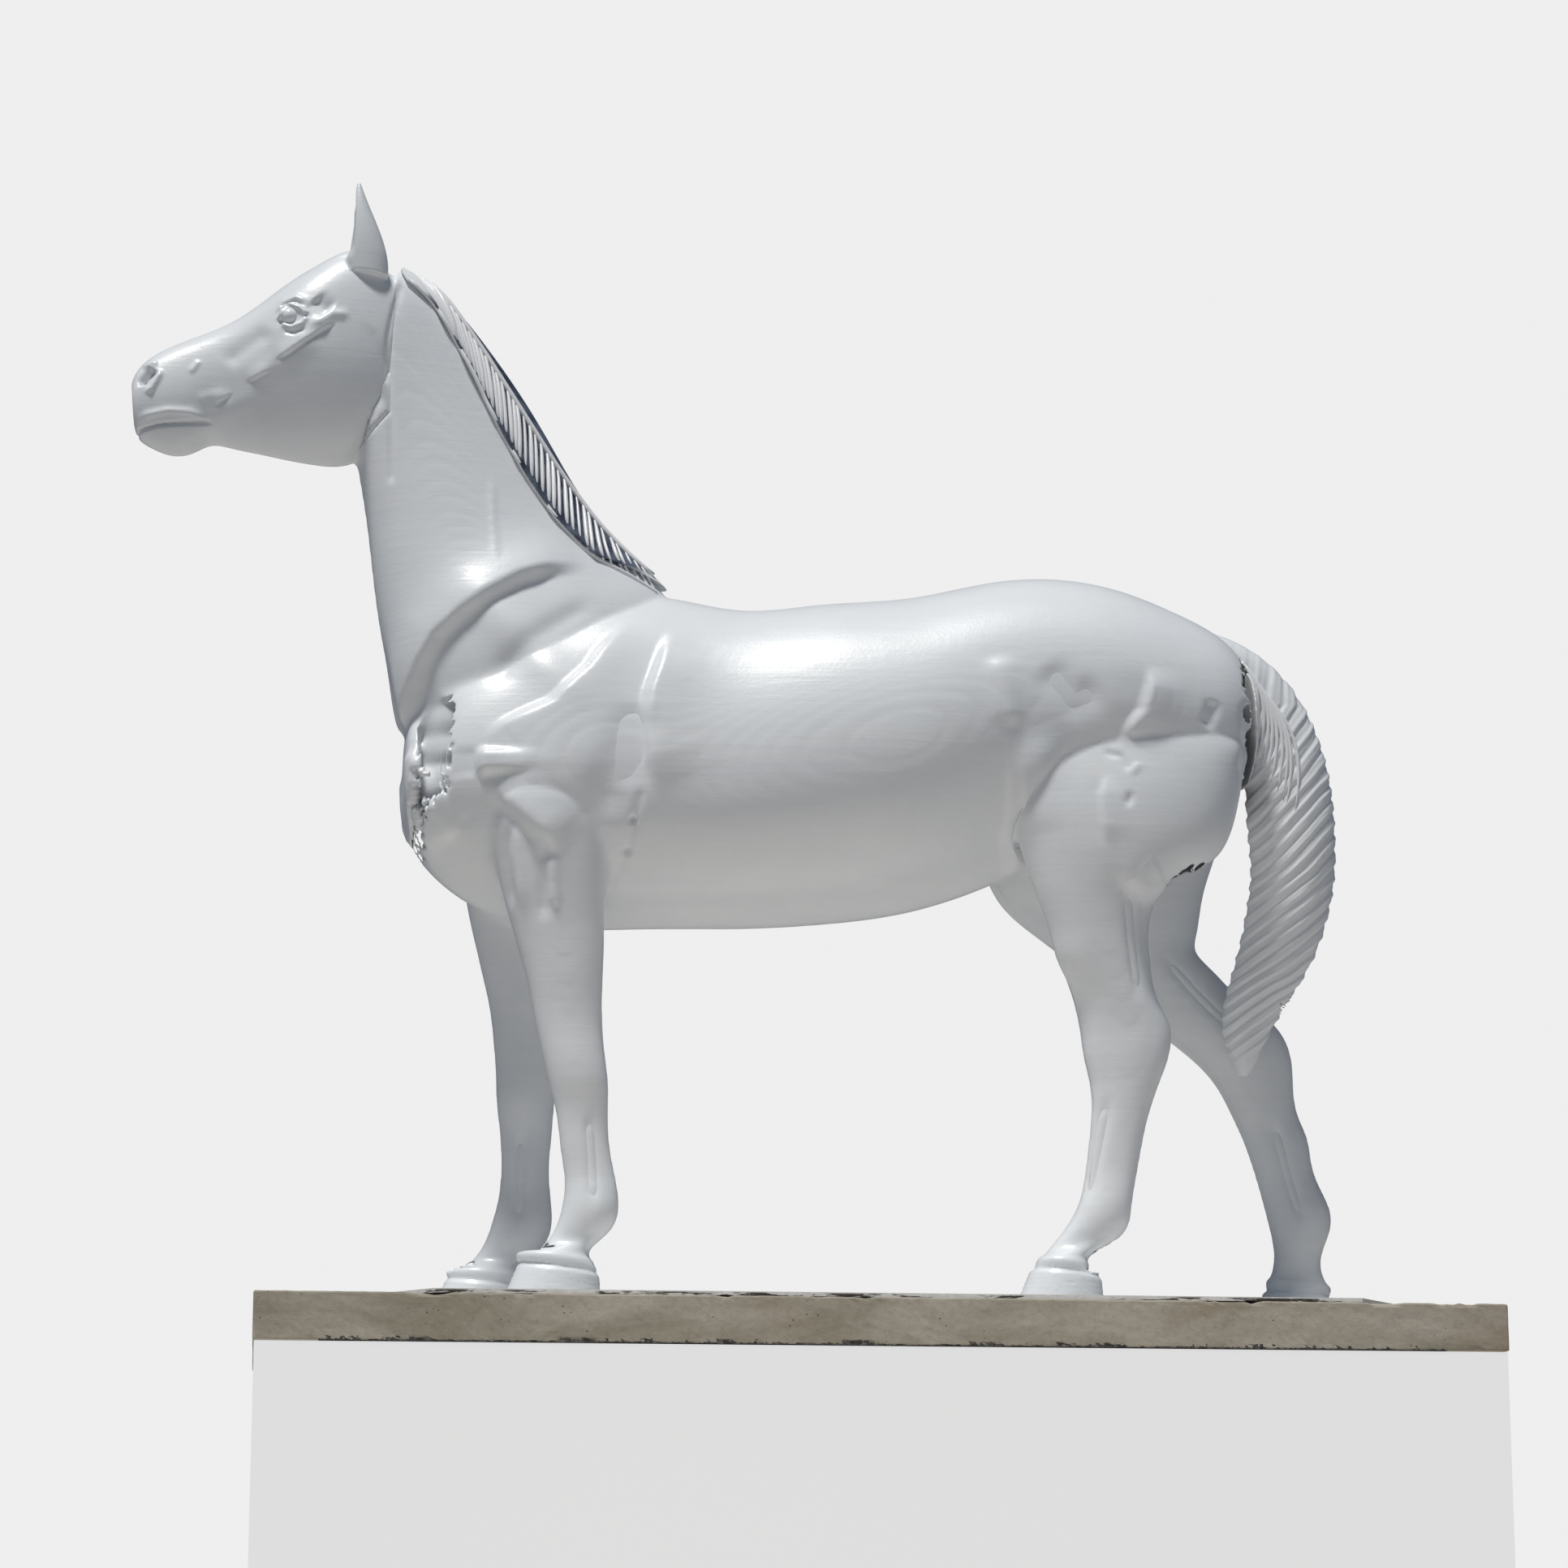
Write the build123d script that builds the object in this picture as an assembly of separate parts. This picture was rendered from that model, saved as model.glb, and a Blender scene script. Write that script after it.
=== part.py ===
"""A life-size standing horse in glass-fibre mouldings over a steel armature, on a precast slab.

Frame: millimetres, +Z up. The horse faces -X and its left side is -Y. The origin is in the
middle of the slab's underside, on the surface that the slab rests on.
"""

import math
import os

from build123d import *

os.makedirs("parts", exist_ok=True)

# ---- driving dimensions: base -------------------------------------------------------------
SLAB_LENGTH = 2394.0
SLAB_WIDTH = 840.0
SLAB_THICKNESS = 91.0
SLAB_ARRIS = 4.0
BED_THICKNESS = 9.0
BED_END_MARGIN = 122.0
BED_SETBACK = 4.0
PLATE_THICKNESS = 8.0
PLATE_SETBACK = 8.0
PLATE_FRONT_X = -1010.0
PLATE_REAR_X = 1062.0
PLATE_CORNER_X = 150.0
PLATE_CORNER_Y = 190.0
ANCHOR_R = 4.0
ANCHOR_LENGTH = 45.0
ANCHOR_HEAD_R = 8.0
ANCHOR_HEAD_THICKNESS = 4.0
ANCHOR_SPACING_Y = 640.0
ANCHOR_XS = (-760.0, -250.0, 250.0, 740.0)
REBAR_R = 4.0
REBAR_LONG_YS = (-340.0, -230.0, -80.0, 80.0, 230.0, 340.0)
REBAR_CROSS_FIRST_X = -1120.0
REBAR_CROSS_PITCH = 240.0
REBAR_CROSS_COUNT = 10
REBAR_LENGTH = 2300.0
REBAR_SPAN = 740.0
REBAR_Z = 60.0
WELD_BITE = 1.0

# ---- driving dimensions: mouldings --------------------------------------------------------
WALL = 7.0
MANE_THICKNESS = 12.0
HOOF_WALL = 10.0
EYE_R = 19.0
EYE_PROUD = 6.0
RING_POINTS = 12
SEAM_STEP = 2
NECK_WAY_MARGIN = 30.0
TAPE_WIDTH = 90.0
TAPE_THICKNESS = 3.0

# ---- driving dimensions: armature ---------------------------------------------------------
LEG_ROD_R = 12.0
ROD_CLEARANCE = 1.0
ROD_FLANGE_R = 26.0
ROD_FLANGE_THICKNESS = 8.0
NUT_FLATS = 36.0
NUT_HEIGHT = 19.0
WASHER_R = 32.0
WASHER_THICKNESS = 5.0
POCKET_R = 45.0
POCKET_DEPTH = 35.0
ROD_TAIL = 6.0
BEAM_HEIGHT = 60.0
BEAM_WIDTH = 50.0
BEAM_WALL = 4.0
BEAM_TOP_Z = 1405.0
BEAM_FRONT_X = -660.0
BEAM_REAR_X = 570.0
CROSSBAR_SIZE = 40.0
CROSSBAR_LENGTH = 370.0
CROSSBAR_WALL = 3.0
FORE_CROSSBAR_X = -615.0
HIND_CROSSBAR_X = 500.0
NECK_POST_R = 21.0
NECK_POST_WALL = 3.0
HEAD_STAY_R = 10.0
TAIL_ROD_R = 8.0
FORMER_THICKNESS = 12.0
FORMER_XS = (-330.0, 0.0, 205.0)
FORMER_HOLE_R = 110.0
FORMER_HOLE_DROP = 170.0

# ---- derived heights ----------------------------------------------------------------------
SLAB_TOP = SLAB_THICKNESS
PLATE_TOP = SLAB_TOP + PLATE_THICKNESS
POCKET_TOP = BED_THICKNESS + POCKET_DEPTH
BEAM_BOTTOM_Z = BEAM_TOP_Z - BEAM_HEIGHT
ROD_TOP_Z = BEAM_BOTTOM_Z - CROSSBAR_SIZE
ROD_BOTTOM_Z = POCKET_TOP - WASHER_THICKNESS - NUT_HEIGHT - ROD_TAIL
FOOT_Y = 160.0

# ---- outlines -----------------------------------------------------------------------------
# A station is one cross-section: the two points (x, z) where it meets the side outline, its
# half-width, its fullness towards the first point, and its distance from the middle plane.
TORSO = [
    # the back line, then the belly line
    ((-926, 1210), (-926, 1100), 75, 0.0, 0),
    ((-900, 1300), (-903, 1015), 150, 0.0, 0),
    ((-820, 1398), (-825, 930), 205, -0.05, 0),
    ((-690, 1482), (-690, 868), 232, -0.08, 0),
    ((-540, 1535), (-540, 858), 245, -0.12, 0),
    ((-400, 1545), (-400, 864), 245, -0.18, 0),
    ((-250, 1522), (-250, 868), 262, -0.14, 0),
    ((-80, 1538), (-80, 880), 278, -0.08, 0),
    ((100, 1556), (100, 908), 282, -0.02, 0),
    ((260, 1592), (260, 962), 268, 0.04, 0),
    ((380, 1604), (380, 1010), 262, 0.06, 0),
    ((520, 1586), (520, 1040), 262, 0.05, 0),
    ((650, 1540), (650, 1070), 240, 0.0, 0),
    ((745, 1490), (750, 1110), 196, 0.0, 0),
    ((800, 1430), (800, 1170), 130, 0.0, 0),
    ((822, 1360), (822, 1240), 60, 0.0, 0),
]
NECK = [
    # the crest, then the throat line
    ((-345, 1500), (-840, 1165), 150, -0.15, 0),
    ((-440, 1592), (-938, 1290), 165, -0.22, 0),
    ((-530, 1680), (-971, 1430), 140, -0.30, 0),
    ((-620, 1810), (-994, 1570), 112, -0.34, 0),
    ((-695, 1938), (-1010, 1690), 94, -0.34, 0),
    ((-766, 2042), (-1024, 1770), 84, -0.30, 0),
    ((-842, 2138), (-1038, 1850), 78, -0.22, 0),
    ((-900, 2192), (-1048, 1930), 74, -0.12, 0),
    ((-950, 2222), (-1056, 1995), 66, -0.05, 0),
]
HEAD = [
    # the forehead and nose line, then the jaw line
    ((-955, 2225), (-975, 1900), 68, 0.15, 0),
    ((-1003, 2250), (-1010, 1832), 88, 0.14, 0),
    ((-1060, 2262), (-1060, 1806), 98, 0.16, 0),
    ((-1125, 2226), (-1120, 1806), 103, 0.22, 0),
    ((-1180, 2187), (-1175, 1814), 96, 0.24, 0),
    ((-1240, 2138), (-1230, 1824), 78, 0.20, 0),
    ((-1300, 2096), (-1285, 1834), 64, 0.14, 0),
    ((-1350, 2072), (-1328, 1838), 58, 0.08, 0),
    ((-1400, 2050), (-1372, 1818), 57, 0.02, 0),
    ((-1444, 2026), (-1424, 1818), 55, 0.02, 0),
    ((-1476, 1996), (-1464, 1836), 48, 0.05, 0),
    ((-1491, 1960), (-1484, 1870), 34, 0.05, 0),
]
LEFT_FORELEG = [
    # the front line, then the back line
    ((-760, 1235), (-540, 1235), 35, 0.0, 145),
    ((-790, 1130), (-500, 1090), 72, 0.0, 155),
    ((-768, 1040), (-520, 985), 82, 0.0, 162),
    ((-743, 931), (-530, 887), 72, 0.0, 164),
    ((-710, 818), (-530, 822), 62, 0.0, 163),
    ((-682, 725), (-533, 725), 54, 0.0, 162),
    ((-662, 630), (-532, 630), 48, 0.0, 160),
    ((-650, 578), (-527, 578), 49, 0.0, 160),
    ((-638, 530), (-521, 530), 47, 0.0, 160),
    ((-622, 470), (-520, 470), 35, 0.0, 160),
    ((-611, 390), (-515, 390), 31, 0.0, 160),
    ((-603, 330), (-503, 330), 33, 0.0, 160),
    ((-606, 290), (-498, 290), 40, 0.0, 160),
    ((-618, 245), (-504, 252), 38, 0.0, 160),
    ((-654, 202), (-535, 215), 34, 0.0, 160),
    ((-694, 164), (-536, 152), 52, 0.0, 160),
]
RIGHT_FORELEG = [
    ((-765, 1235), (-540, 1235), 35, 0.0, 145),
    ((-805, 1125), (-510, 1090), 72, 0.0, 155),
    ((-800, 1020), (-540, 975), 82, 0.0, 162),
    ((-782, 905), (-575, 880), 72, 0.0, 164),
    ((-762, 822), (-590, 822), 62, 0.0, 163),
    ((-738, 725), (-594, 725), 54, 0.0, 162),
    ((-727, 640), (-595, 636), 48, 0.0, 160),
    ((-722, 578), (-598, 578), 49, 0.0, 160),
    ((-720, 530), (-603, 530), 47, 0.0, 160),
    ((-713, 470), (-607, 470), 35, 0.0, 160),
    ((-709, 395), (-612, 395), 31, 0.0, 160),
    ((-714, 330), (-608, 330), 33, 0.0, 160),
    ((-725, 285), (-605, 290), 40, 0.0, 160),
    ((-742, 238), (-615, 248), 38, 0.0, 160),
    ((-780, 198), (-650, 212), 34, 0.0, 160),
    ((-818, 164), (-661, 152), 52, 0.0, 160),
]
LEFT_FORE_HOOF = [
    ((-686, 184), (-534, 172), 57, 0.0, 160),
    ((-705, 138), (-533, 130), 64, 0.05, 160),
    ((-720, 99), (-531, 99), 69, 0.08, 160),
]
RIGHT_FORE_HOOF = [
    ((-810, 184), (-659, 172), 57, 0.0, 160),
    ((-830, 138), (-664, 130), 64, 0.05, 160),
    ((-847, 99), (-668, 99), 69, 0.08, 160),
]
LEFT_HINDLEG = [
    ((360, 1340), (680, 1350), 50, 0.0, 140),
    ((305, 1250), (745, 1275), 88, 0.0, 148),
    ((290, 1160), (768, 1190), 106, 0.0, 152),
    ((293, 1080), (747, 1095), 112, 0.0, 156),
    ((308, 1003), (698, 996), 104, 0.0, 158),
    ((337, 912), (592, 930), 82, 0.0, 160),
    ((358, 856), (563, 862), 70, 0.0, 160),
    ((378, 790), (562, 794), 60, 0.0, 160),
    ((405, 712), (578, 705), 50, 0.0, 160),
    ((419, 644), (602, 652), 43, 0.0, 160),
    ((426, 592), (597, 596), 41, 0.0, 160),
    ((437, 540), (578, 545), 37, 0.0, 160),
    ((439, 470), (552, 470), 33, 0.0, 160),
    ((431, 400), (536, 400), 32, 0.0, 160),
    ((423, 345), (525, 345), 34, 0.0, 160),
    ((411, 300), (517, 300), 40, 0.0, 160),
    ((386, 255), (510, 262), 38, 0.0, 160),
    ((350, 210), (466, 218), 34, 0.0, 160),
    ((312, 168), (451, 157), 50, 0.0, 160),
]
RIGHT_HINDLEG = [
    ((360, 1340), (680, 1350), 50, 0.0, 140),
    ((305, 1250), (748, 1275), 88, 0.0, 148),
    ((290, 1160), (780, 1185), 106, 0.0, 152),
    ((295, 1055), (776, 1075), 112, 0.0, 156),
    ((335, 952), (742, 965), 104, 0.0, 158),
    ((425, 868), (730, 895), 84, 0.0, 160),
    ((515, 798), (742, 846), 68, 0.0, 160),
    ((610, 724), (800, 786), 56, 0.0, 160),
    ((702, 650), (878, 726), 47, 0.0, 160),
    ((752, 602), (920, 664), 43, 0.0, 160),
    ((786, 548), (928, 585), 39, 0.0, 160),
    ((810, 496), (940, 515), 34, 0.0, 160),
    ((838, 420), (962, 430), 32, 0.0, 160),
    ((858, 348), (989, 355), 34, 0.0, 160),
    ((872, 292), (1000, 302), 40, 0.0, 160),
    ((880, 240), (982, 248), 38, 0.0, 160),
    ((874, 200), (978, 202), 35, 0.0, 160),
    ((855, 158), (993, 152), 50, 0.0, 160),
]
LEFT_HIND_HOOF = [
    ((320, 188), (452, 177), 55, 0.0, 160),
    ((301, 140), (456, 132), 61, 0.05, 160),
    ((284, 99), (459, 99), 66, 0.08, 160),
]
RIGHT_HIND_HOOF = [
    ((861, 180), (992, 174), 55, 0.0, 160),
    ((848, 136), (1000, 132), 61, 0.05, 160),
    ((837, 99), (1008, 99), 66, 0.08, 160),
]
EAR = [
    # the rear edge, then the front edge
    ((-978, 2190), (-1060, 2200), 32, 0.0, 60),
    ((-980, 2230), (-1064, 2245), 32, 0.0, 62),
    ((-998, 2290), (-1060, 2300), 27, 0.0, 65),
    ((-1017, 2335), (-1054, 2340), 19, 0.0, 67),
    ((-1031, 2370), (-1048, 2373), 10, 0.0, 68),
    ((-1038, 2390), (-1044, 2391), 3, 0.0, 68),
]
TAIL = [
    # the outer line, then the inner line
    ((735, 1508), (690, 1430), 34, 0.0, 0),
    ((798, 1485), (730, 1405), 40, 0.0, 0),
    ((858, 1445), (765, 1365), 46, 0.0, 0),
    ((914, 1382), (795, 1305), 54, 0.0, 2),
    ((960, 1288), (806, 1223), 62, 0.0, 5),
    ((984, 1190), (808, 1143), 68, 0.0, 10),
    ((992, 1090), (814, 1065), 69, 0.0, 15),
    ((988, 985), (815, 985), 66, 0.0, 20),
    ((965, 885), (798, 885), 59, 0.0, 26),
    ((918, 785), (771, 785), 48, 0.0, 33),
    ((868, 705), (755, 708), 37, 0.0, 40),
    ((832, 635), (766, 638), 26, 0.0, 46),
    ((806, 590), (786, 592), 9, 0.0, 50),
]
MANE_BAND = [
    # over the crest, then back along the lower border of the locks
    (-985, 2300), (-760, 2200), (-540, 1860), (-330, 1640), (-345, 1545),
    (-460, 1588), (-550, 1612), (-632, 1690), (-698, 1790), (-752, 1890),
    (-796, 1985), (-842, 2075), (-885, 2150), (-940, 2195),
]
# Armature centre lines, (x, z) from the slab up.
LEFT_FORE_ROD = [
    (-577, ROD_BOTTOM_Z), (-577, 560),
    (FORE_CROSSBAR_X, 1000), (FORE_CROSSBAR_X, ROD_TOP_Z),
]
RIGHT_FORE_ROD = [
    (-706, ROD_BOTTOM_Z), (-706, 150), (-686, 390), (-662, 600),
    (FORE_CROSSBAR_X, 1000), (FORE_CROSSBAR_X, ROD_TOP_Z),
]
LEFT_HIND_ROD = [
    (388, ROD_BOTTOM_Z), (388, 150), (450, 265), (485, 400),
    (512, 600), (465, 830), (HIND_CROSSBAR_X, 1100), (HIND_CROSSBAR_X, ROD_TOP_Z),
]
RIGHT_HIND_ROD = [
    (928, ROD_BOTTOM_Z), (928, 260), (875, 505), (842, 620),
    (705, 757), (560, 880), (HIND_CROSSBAR_X, 1100), (HIND_CROSSBAR_X, ROD_TOP_Z),
]
NECK_POST = [(-600, BEAM_TOP_Z - 10), (-790, 1690), (-900, 1940), (-1040, 2110)]
HEAD_STAY = [(-1040, 2110), (-1385, 1945)]
TAIL_ROD = [
    (BEAM_REAR_X - 20, 1380), (700, 1455), (800, 1418), (865, 1330),
    (895, 1200), (903, 1050), (892, 900),
]

# Joint planes between mouldings: a point (x, z) on the plane and its lean from vertical.
GIRTH_JOINT = (-440.0, 1225.0)
GIRTH_LEAN = 12.5
LOIN_JOINT = (262.0, 1300.0)
LOIN_LEAN = 0.0
FORELEG_JOINT_Z = 835.0
HINDLEG_JOINT_Z = 852.0
LEFT_CORONETS = ((-612.0, 167.0, 4.0), (384.0, 172.0, 4.0))
RIGHT_CORONETS = ((-737.0, 167.0, 4.0), (924.0, 165.0, 2.0))
EYE_X = -1176.0
EYE_Z = 2090.0
EYE_Y = 85.0
LEFT = -1
RIGHT = 1


# ---- helpers ------------------------------------------------------------------------------
def solid_of(shape):
    solids = sorted(shape.solids(), key=lambda s: s.volume)
    return solids[-1]


def ring(station, side, grow, seam):
    """The face of one station, made larger all round by grow."""
    (ax, az), (bx, bz), half_width, fullness, y_middle = station
    span = math.hypot(ax - bx, az - bz)
    ux, uz = (ax - bx) / span, (az - bz) / span
    points = []
    for i in range(RING_POINTS):
        angle = 2 * math.pi * (i + seam) / RING_POINTS
        reach = (span / 2 + grow) * math.cos(angle)
        out = (half_width + grow) * math.sin(angle) * (1 + fullness * math.cos(angle))
        points.append(((ax + bx) / 2 + ux * reach, side * y_middle + out, (az + bz) / 2 + uz * reach))
    return Face(Wire([Edge.make_spline(points, periodic=True)]))


def body(stations, grow=0.0, side=1, seam=SEAM_STEP):
    """A smooth solid through a list of stations."""
    return solid_of(loft([ring(s, side, grow, seam) for s in stations]))


def bar(path, radius, y=0.0):
    """A round bar along a centre line of (x, z) points, with rounded bends."""
    pieces = []
    for (x0, z0), (x1, z1) in zip(path, path[1:]):
        start = Vector(x0, y, z0)
        run = Vector(x1, y, z1) - start
        pieces.append(Solid.make_cylinder(radius, run.length, Plane(start, z_dir=run)))
    for x, z in path[1:-1]:
        pieces.append(Pos(x, y, z) * Sphere(radius))
    return pieces[0].fuse(*pieces[1:])


def beyond(point, lean=0.0, size=3200.0):
    """The half of space on the +X side of a leaning cross plane."""
    x, z = point
    return Pos(x, 0, z) * Rot(0, lean, 0) * Pos(size / 2, 0, 0) * Box(size, size, size)


def above(z, x=0.0, tip=0.0, size=3200.0):
    """The half of space over a plane through (x, z), tipped about the Y direction."""
    return Pos(x, 0, z) * Rot(0, tip, 0) * Pos(0, 0, size / 2) * Box(size, size, size)


def half(shape, side, size=3600.0):
    """The part of a shape on one side of the middle plane."""
    return shape & (Pos(0, side * size / 2, size / 2) * Box(size, size, size))


def export(name, shape):
    solids = shape.solids()
    made = solids[0] if len(solids) == 1 else Compound(solids)
    export_step(made, f"parts/{name}.step")


# ---- base ---------------------------------------------------------------------------------
def bed_block(height):
    length = SLAB_LENGTH - 2 * BED_END_MARGIN
    width = SLAB_WIDTH - 2 * BED_SETBACK
    return Pos(0, 0, height / 2) * Box(length, width, height)


def anchor_centres():
    return [(x, side * ANCHOR_SPACING_Y / 2) for x in ANCHOR_XS for side in (LEFT, RIGHT)]


def foot_centres():
    left = [(path[0][0], LEFT * FOOT_Y) for path in (LEFT_FORE_ROD, LEFT_HIND_ROD)]
    right = [(path[0][0], RIGHT * FOOT_Y) for path in (RIGHT_FORE_ROD, RIGHT_HIND_ROD)]
    return left + right


def upright(x, y, z, radius, height):
    """A vertical cylinder standing on z."""
    return Pos(x, y, z + height / 2) * Cylinder(radius, height)


def reinforcement():
    """Welded mesh cast into the slab."""
    bars = [Pos(0, y, REBAR_Z) * Rot(0, 90, 0) * Cylinder(REBAR_R, REBAR_LENGTH) for y in REBAR_LONG_YS]
    cross_z = REBAR_Z + 2 * REBAR_R - WELD_BITE
    for i in range(REBAR_CROSS_COUNT):
        x = REBAR_CROSS_FIRST_X + i * REBAR_CROSS_PITCH
        bars.append(Pos(x, 0, cross_z) * Rot(90, 0, 0) * Cylinder(REBAR_R, REBAR_SPAN))
    return bars[0].fuse(*bars[1:])


def base_slab(mesh):
    block = Pos(0, 0, SLAB_THICKNESS / 2) * Box(SLAB_LENGTH, SLAB_WIDTH, SLAB_THICKNESS)
    block = chamfer(block.edges().group_by(Axis.Z)[-1], SLAB_ARRIS)
    block = block - bed_block(BED_THICKNESS) - mesh
    for x, y in foot_centres():
        block = block - upright(x, y, 0, LEG_ROD_R + ROD_CLEARANCE, SLAB_THICKNESS)
        block = block - upright(x, y, 0, POCKET_R, POCKET_TOP)
    for x, y in anchor_centres():
        block = block - upright(x, y, PLATE_TOP - ANCHOR_LENGTH, ANCHOR_R, ANCHOR_LENGTH)
    return block


def mortar_bed():
    return bed_block(BED_THICKNESS)


def base_plate():
    """Plate under the hooves, with its corners cut off, let down onto the slab."""
    half_y = SLAB_WIDTH / 2 - PLATE_SETBACK
    inner_y = half_y - PLATE_CORNER_Y
    front, rear = PLATE_FRONT_X, PLATE_REAR_X
    outline = [
        (front, -inner_y), (front + PLATE_CORNER_X, -half_y), (rear - PLATE_CORNER_X, -half_y),
        (rear, -inner_y), (rear, inner_y), (rear - PLATE_CORNER_X, half_y),
        (front + PLATE_CORNER_X, half_y), (front, inner_y),
    ]
    plate = Pos(0, 0, SLAB_TOP) * extrude(make_face(Polyline(*outline, close=True)), PLATE_THICKNESS)
    for x, y in foot_centres():
        plate = plate - upright(x, y, SLAB_TOP, LEG_ROD_R + ROD_CLEARANCE, PLATE_THICKNESS)
    for x, y in anchor_centres():
        plate = plate - plate_anchor(x, y)
    return plate


def plate_anchor(x, y):
    shank = upright(x, y, PLATE_TOP - ANCHOR_LENGTH, ANCHOR_R, ANCHOR_LENGTH)
    head = upright(x, y, PLATE_TOP - ANCHOR_HEAD_THICKNESS, ANCHOR_HEAD_R, ANCHOR_HEAD_THICKNESS)
    return shank + head


def anchor_washer(x, y):
    disc = upright(x, y, POCKET_TOP - WASHER_THICKNESS, WASHER_R, WASHER_THICKNESS)
    return disc - upright(x, y, POCKET_TOP - WASHER_THICKNESS, LEG_ROD_R, WASHER_THICKNESS)


def anchor_nut(x, y):
    z = POCKET_TOP - WASHER_THICKNESS - NUT_HEIGHT
    hexagon = RegularPolygon(NUT_FLATS / 2, 6, major_radius=False)
    return Pos(x, y, z) * extrude(hexagon, NUT_HEIGHT) - upright(x, y, z, LEG_ROD_R, NUT_HEIGHT)


# ---- armature -----------------------------------------------------------------------------
def leg_rod(path, side):
    """Round bar up one leg, with the flange that stands on the base plate."""
    x = path[0][0]
    flange = upright(x, side * FOOT_Y, PLATE_TOP, ROD_FLANGE_R, ROD_FLANGE_THICKNESS)
    return bar(path, LEG_ROD_R, side * FOOT_Y) + flange


def crossbar(x):
    z = BEAM_BOTTOM_Z - CROSSBAR_SIZE / 2
    inner = CROSSBAR_SIZE - 2 * CROSSBAR_WALL
    tube = Box(CROSSBAR_SIZE, CROSSBAR_LENGTH, CROSSBAR_SIZE) - Box(inner, CROSSBAR_LENGTH, inner)
    return Pos(x, 0, z) * tube


def spine_beam():
    length = BEAM_REAR_X - BEAM_FRONT_X
    inner = Box(length, BEAM_WIDTH - 2 * BEAM_WALL, BEAM_HEIGHT - 2 * BEAM_WALL)
    tube = Box(length, BEAM_WIDTH, BEAM_HEIGHT) - inner
    return Pos((BEAM_REAR_X + BEAM_FRONT_X) / 2, 0, BEAM_TOP_Z - BEAM_HEIGHT / 2) * tube


def beam_envelope():
    length = BEAM_REAR_X - BEAM_FRONT_X
    x = (BEAM_REAR_X + BEAM_FRONT_X) / 2
    return Pos(x, 0, BEAM_TOP_Z - BEAM_HEIGHT / 2) * Box(length, BEAM_WIDTH, BEAM_HEIGHT)


def neck_post():
    tube = bar(NECK_POST, NECK_POST_R) - bar(NECK_POST, NECK_POST_R - NECK_POST_WALL)
    return solid_of(tube - beam_envelope())


def head_stay():
    return solid_of(bar(HEAD_STAY, HEAD_STAY_R) - bar(NECK_POST, NECK_POST_R))


def tail_rod():
    return solid_of(bar(TAIL_ROD, TAIL_ROD_R) - beam_envelope())


def former(x, torso_inner):
    """Plywood rib between the mouldings and the beam."""
    sheet = Pos(x, 0, 1200) * Box(FORMER_THICKNESS, 800, 1200)
    rib = (torso_inner & sheet) - beam_envelope()
    hole_z = BEAM_BOTTOM_Z - FORMER_HOLE_DROP
    return solid_of(rib - Pos(x, 0, hole_z) * Rot(0, 90, 0) * Cylinder(FORMER_HOLE_R, 2 * FORMER_THICKNESS))


# ---- mouldings ----------------------------------------------------------------------------
def side_parts(name):
    """Stations, joints and rods of one side of the horse."""
    if name == "left":
        return LEFT, LEFT_FORELEG, LEFT_HINDLEG, LEFT_FORE_HOOF, LEFT_HIND_HOOF, LEFT_CORONETS
    return RIGHT, RIGHT_FORELEG, RIGHT_HINDLEG, RIGHT_FORE_HOOF, RIGHT_HIND_HOOF, RIGHT_CORONETS


def trunk(grow=0.0):
    """Torso with the shoulders and thighs, down to the leg joints."""
    stations = TORSO if grow == 0.0 else TORSO[1:-1]
    whole = body(stations, grow)
    for upper, z in ((LEFT_FORELEG, FORELEG_JOINT_Z), (LEFT_HINDLEG, HINDLEG_JOINT_Z)):
        whole = whole + (body(upper, grow, LEFT) & above(z))
    for upper, z in ((RIGHT_FORELEG, FORELEG_JOINT_Z), (RIGHT_HINDLEG, HINDLEG_JOINT_Z)):
        whole = whole + (body(upper, grow, RIGHT) & above(z))
    return whole


def joint_tape(inner, point, lean):
    """Laminated strip round the inside of a joint between mouldings."""
    x, z = point
    zone = beyond((x - TAPE_WIDTH / 2, z), lean) - beyond((x + TAPE_WIDTH / 2, z), lean)
    return solid_of((inner & zone) - body(TORSO[1:-1], -WALL - TAPE_THICKNESS))


def leg_shell(stations, side, joint_z, coronet, torso):
    x, z, tip = coronet
    outer = body(stations, 0.0, side) - above(joint_z) - torso
    shell = outer - body(stations, -WALL, side)
    return solid_of(shell & above(z, x, tip))


def hoof(stations, side, coronet):
    x, z, tip = coronet
    outer = body(stations, 0.0, side) - above(z, x, tip)
    lowest = stations[-1]
    floor = ((lowest[0][0], lowest[0][1] - HOOF_WALL), (lowest[1][0], lowest[1][1] - HOOF_WALL)) + lowest[2:]
    return solid_of(outer - body(stations + [floor], -HOOF_WALL, side))


def ear(side, head):
    return solid_of(body(EAR, 0.0, side) - head)


def eye(side):
    return Pos(EYE_X, side * EYE_Y, EYE_Z) * Sphere(EYE_R)


def tail(outer):
    hollow = body(TAIL[1:-2], -WALL, seam=0)
    return solid_of(body(TAIL, seam=0) - outer - hollow)


def mane(neck, others):
    """Upright crest of locks lying down the neck."""
    band = extrude(make_face(Plane.XZ * Polyline(*MANE_BAND, close=True)), 300, both=True)
    hair = (body(NECK, MANE_THICKNESS) & band) - neck
    for other in others:
        hair = hair - other
    return solid_of(hair)




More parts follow.
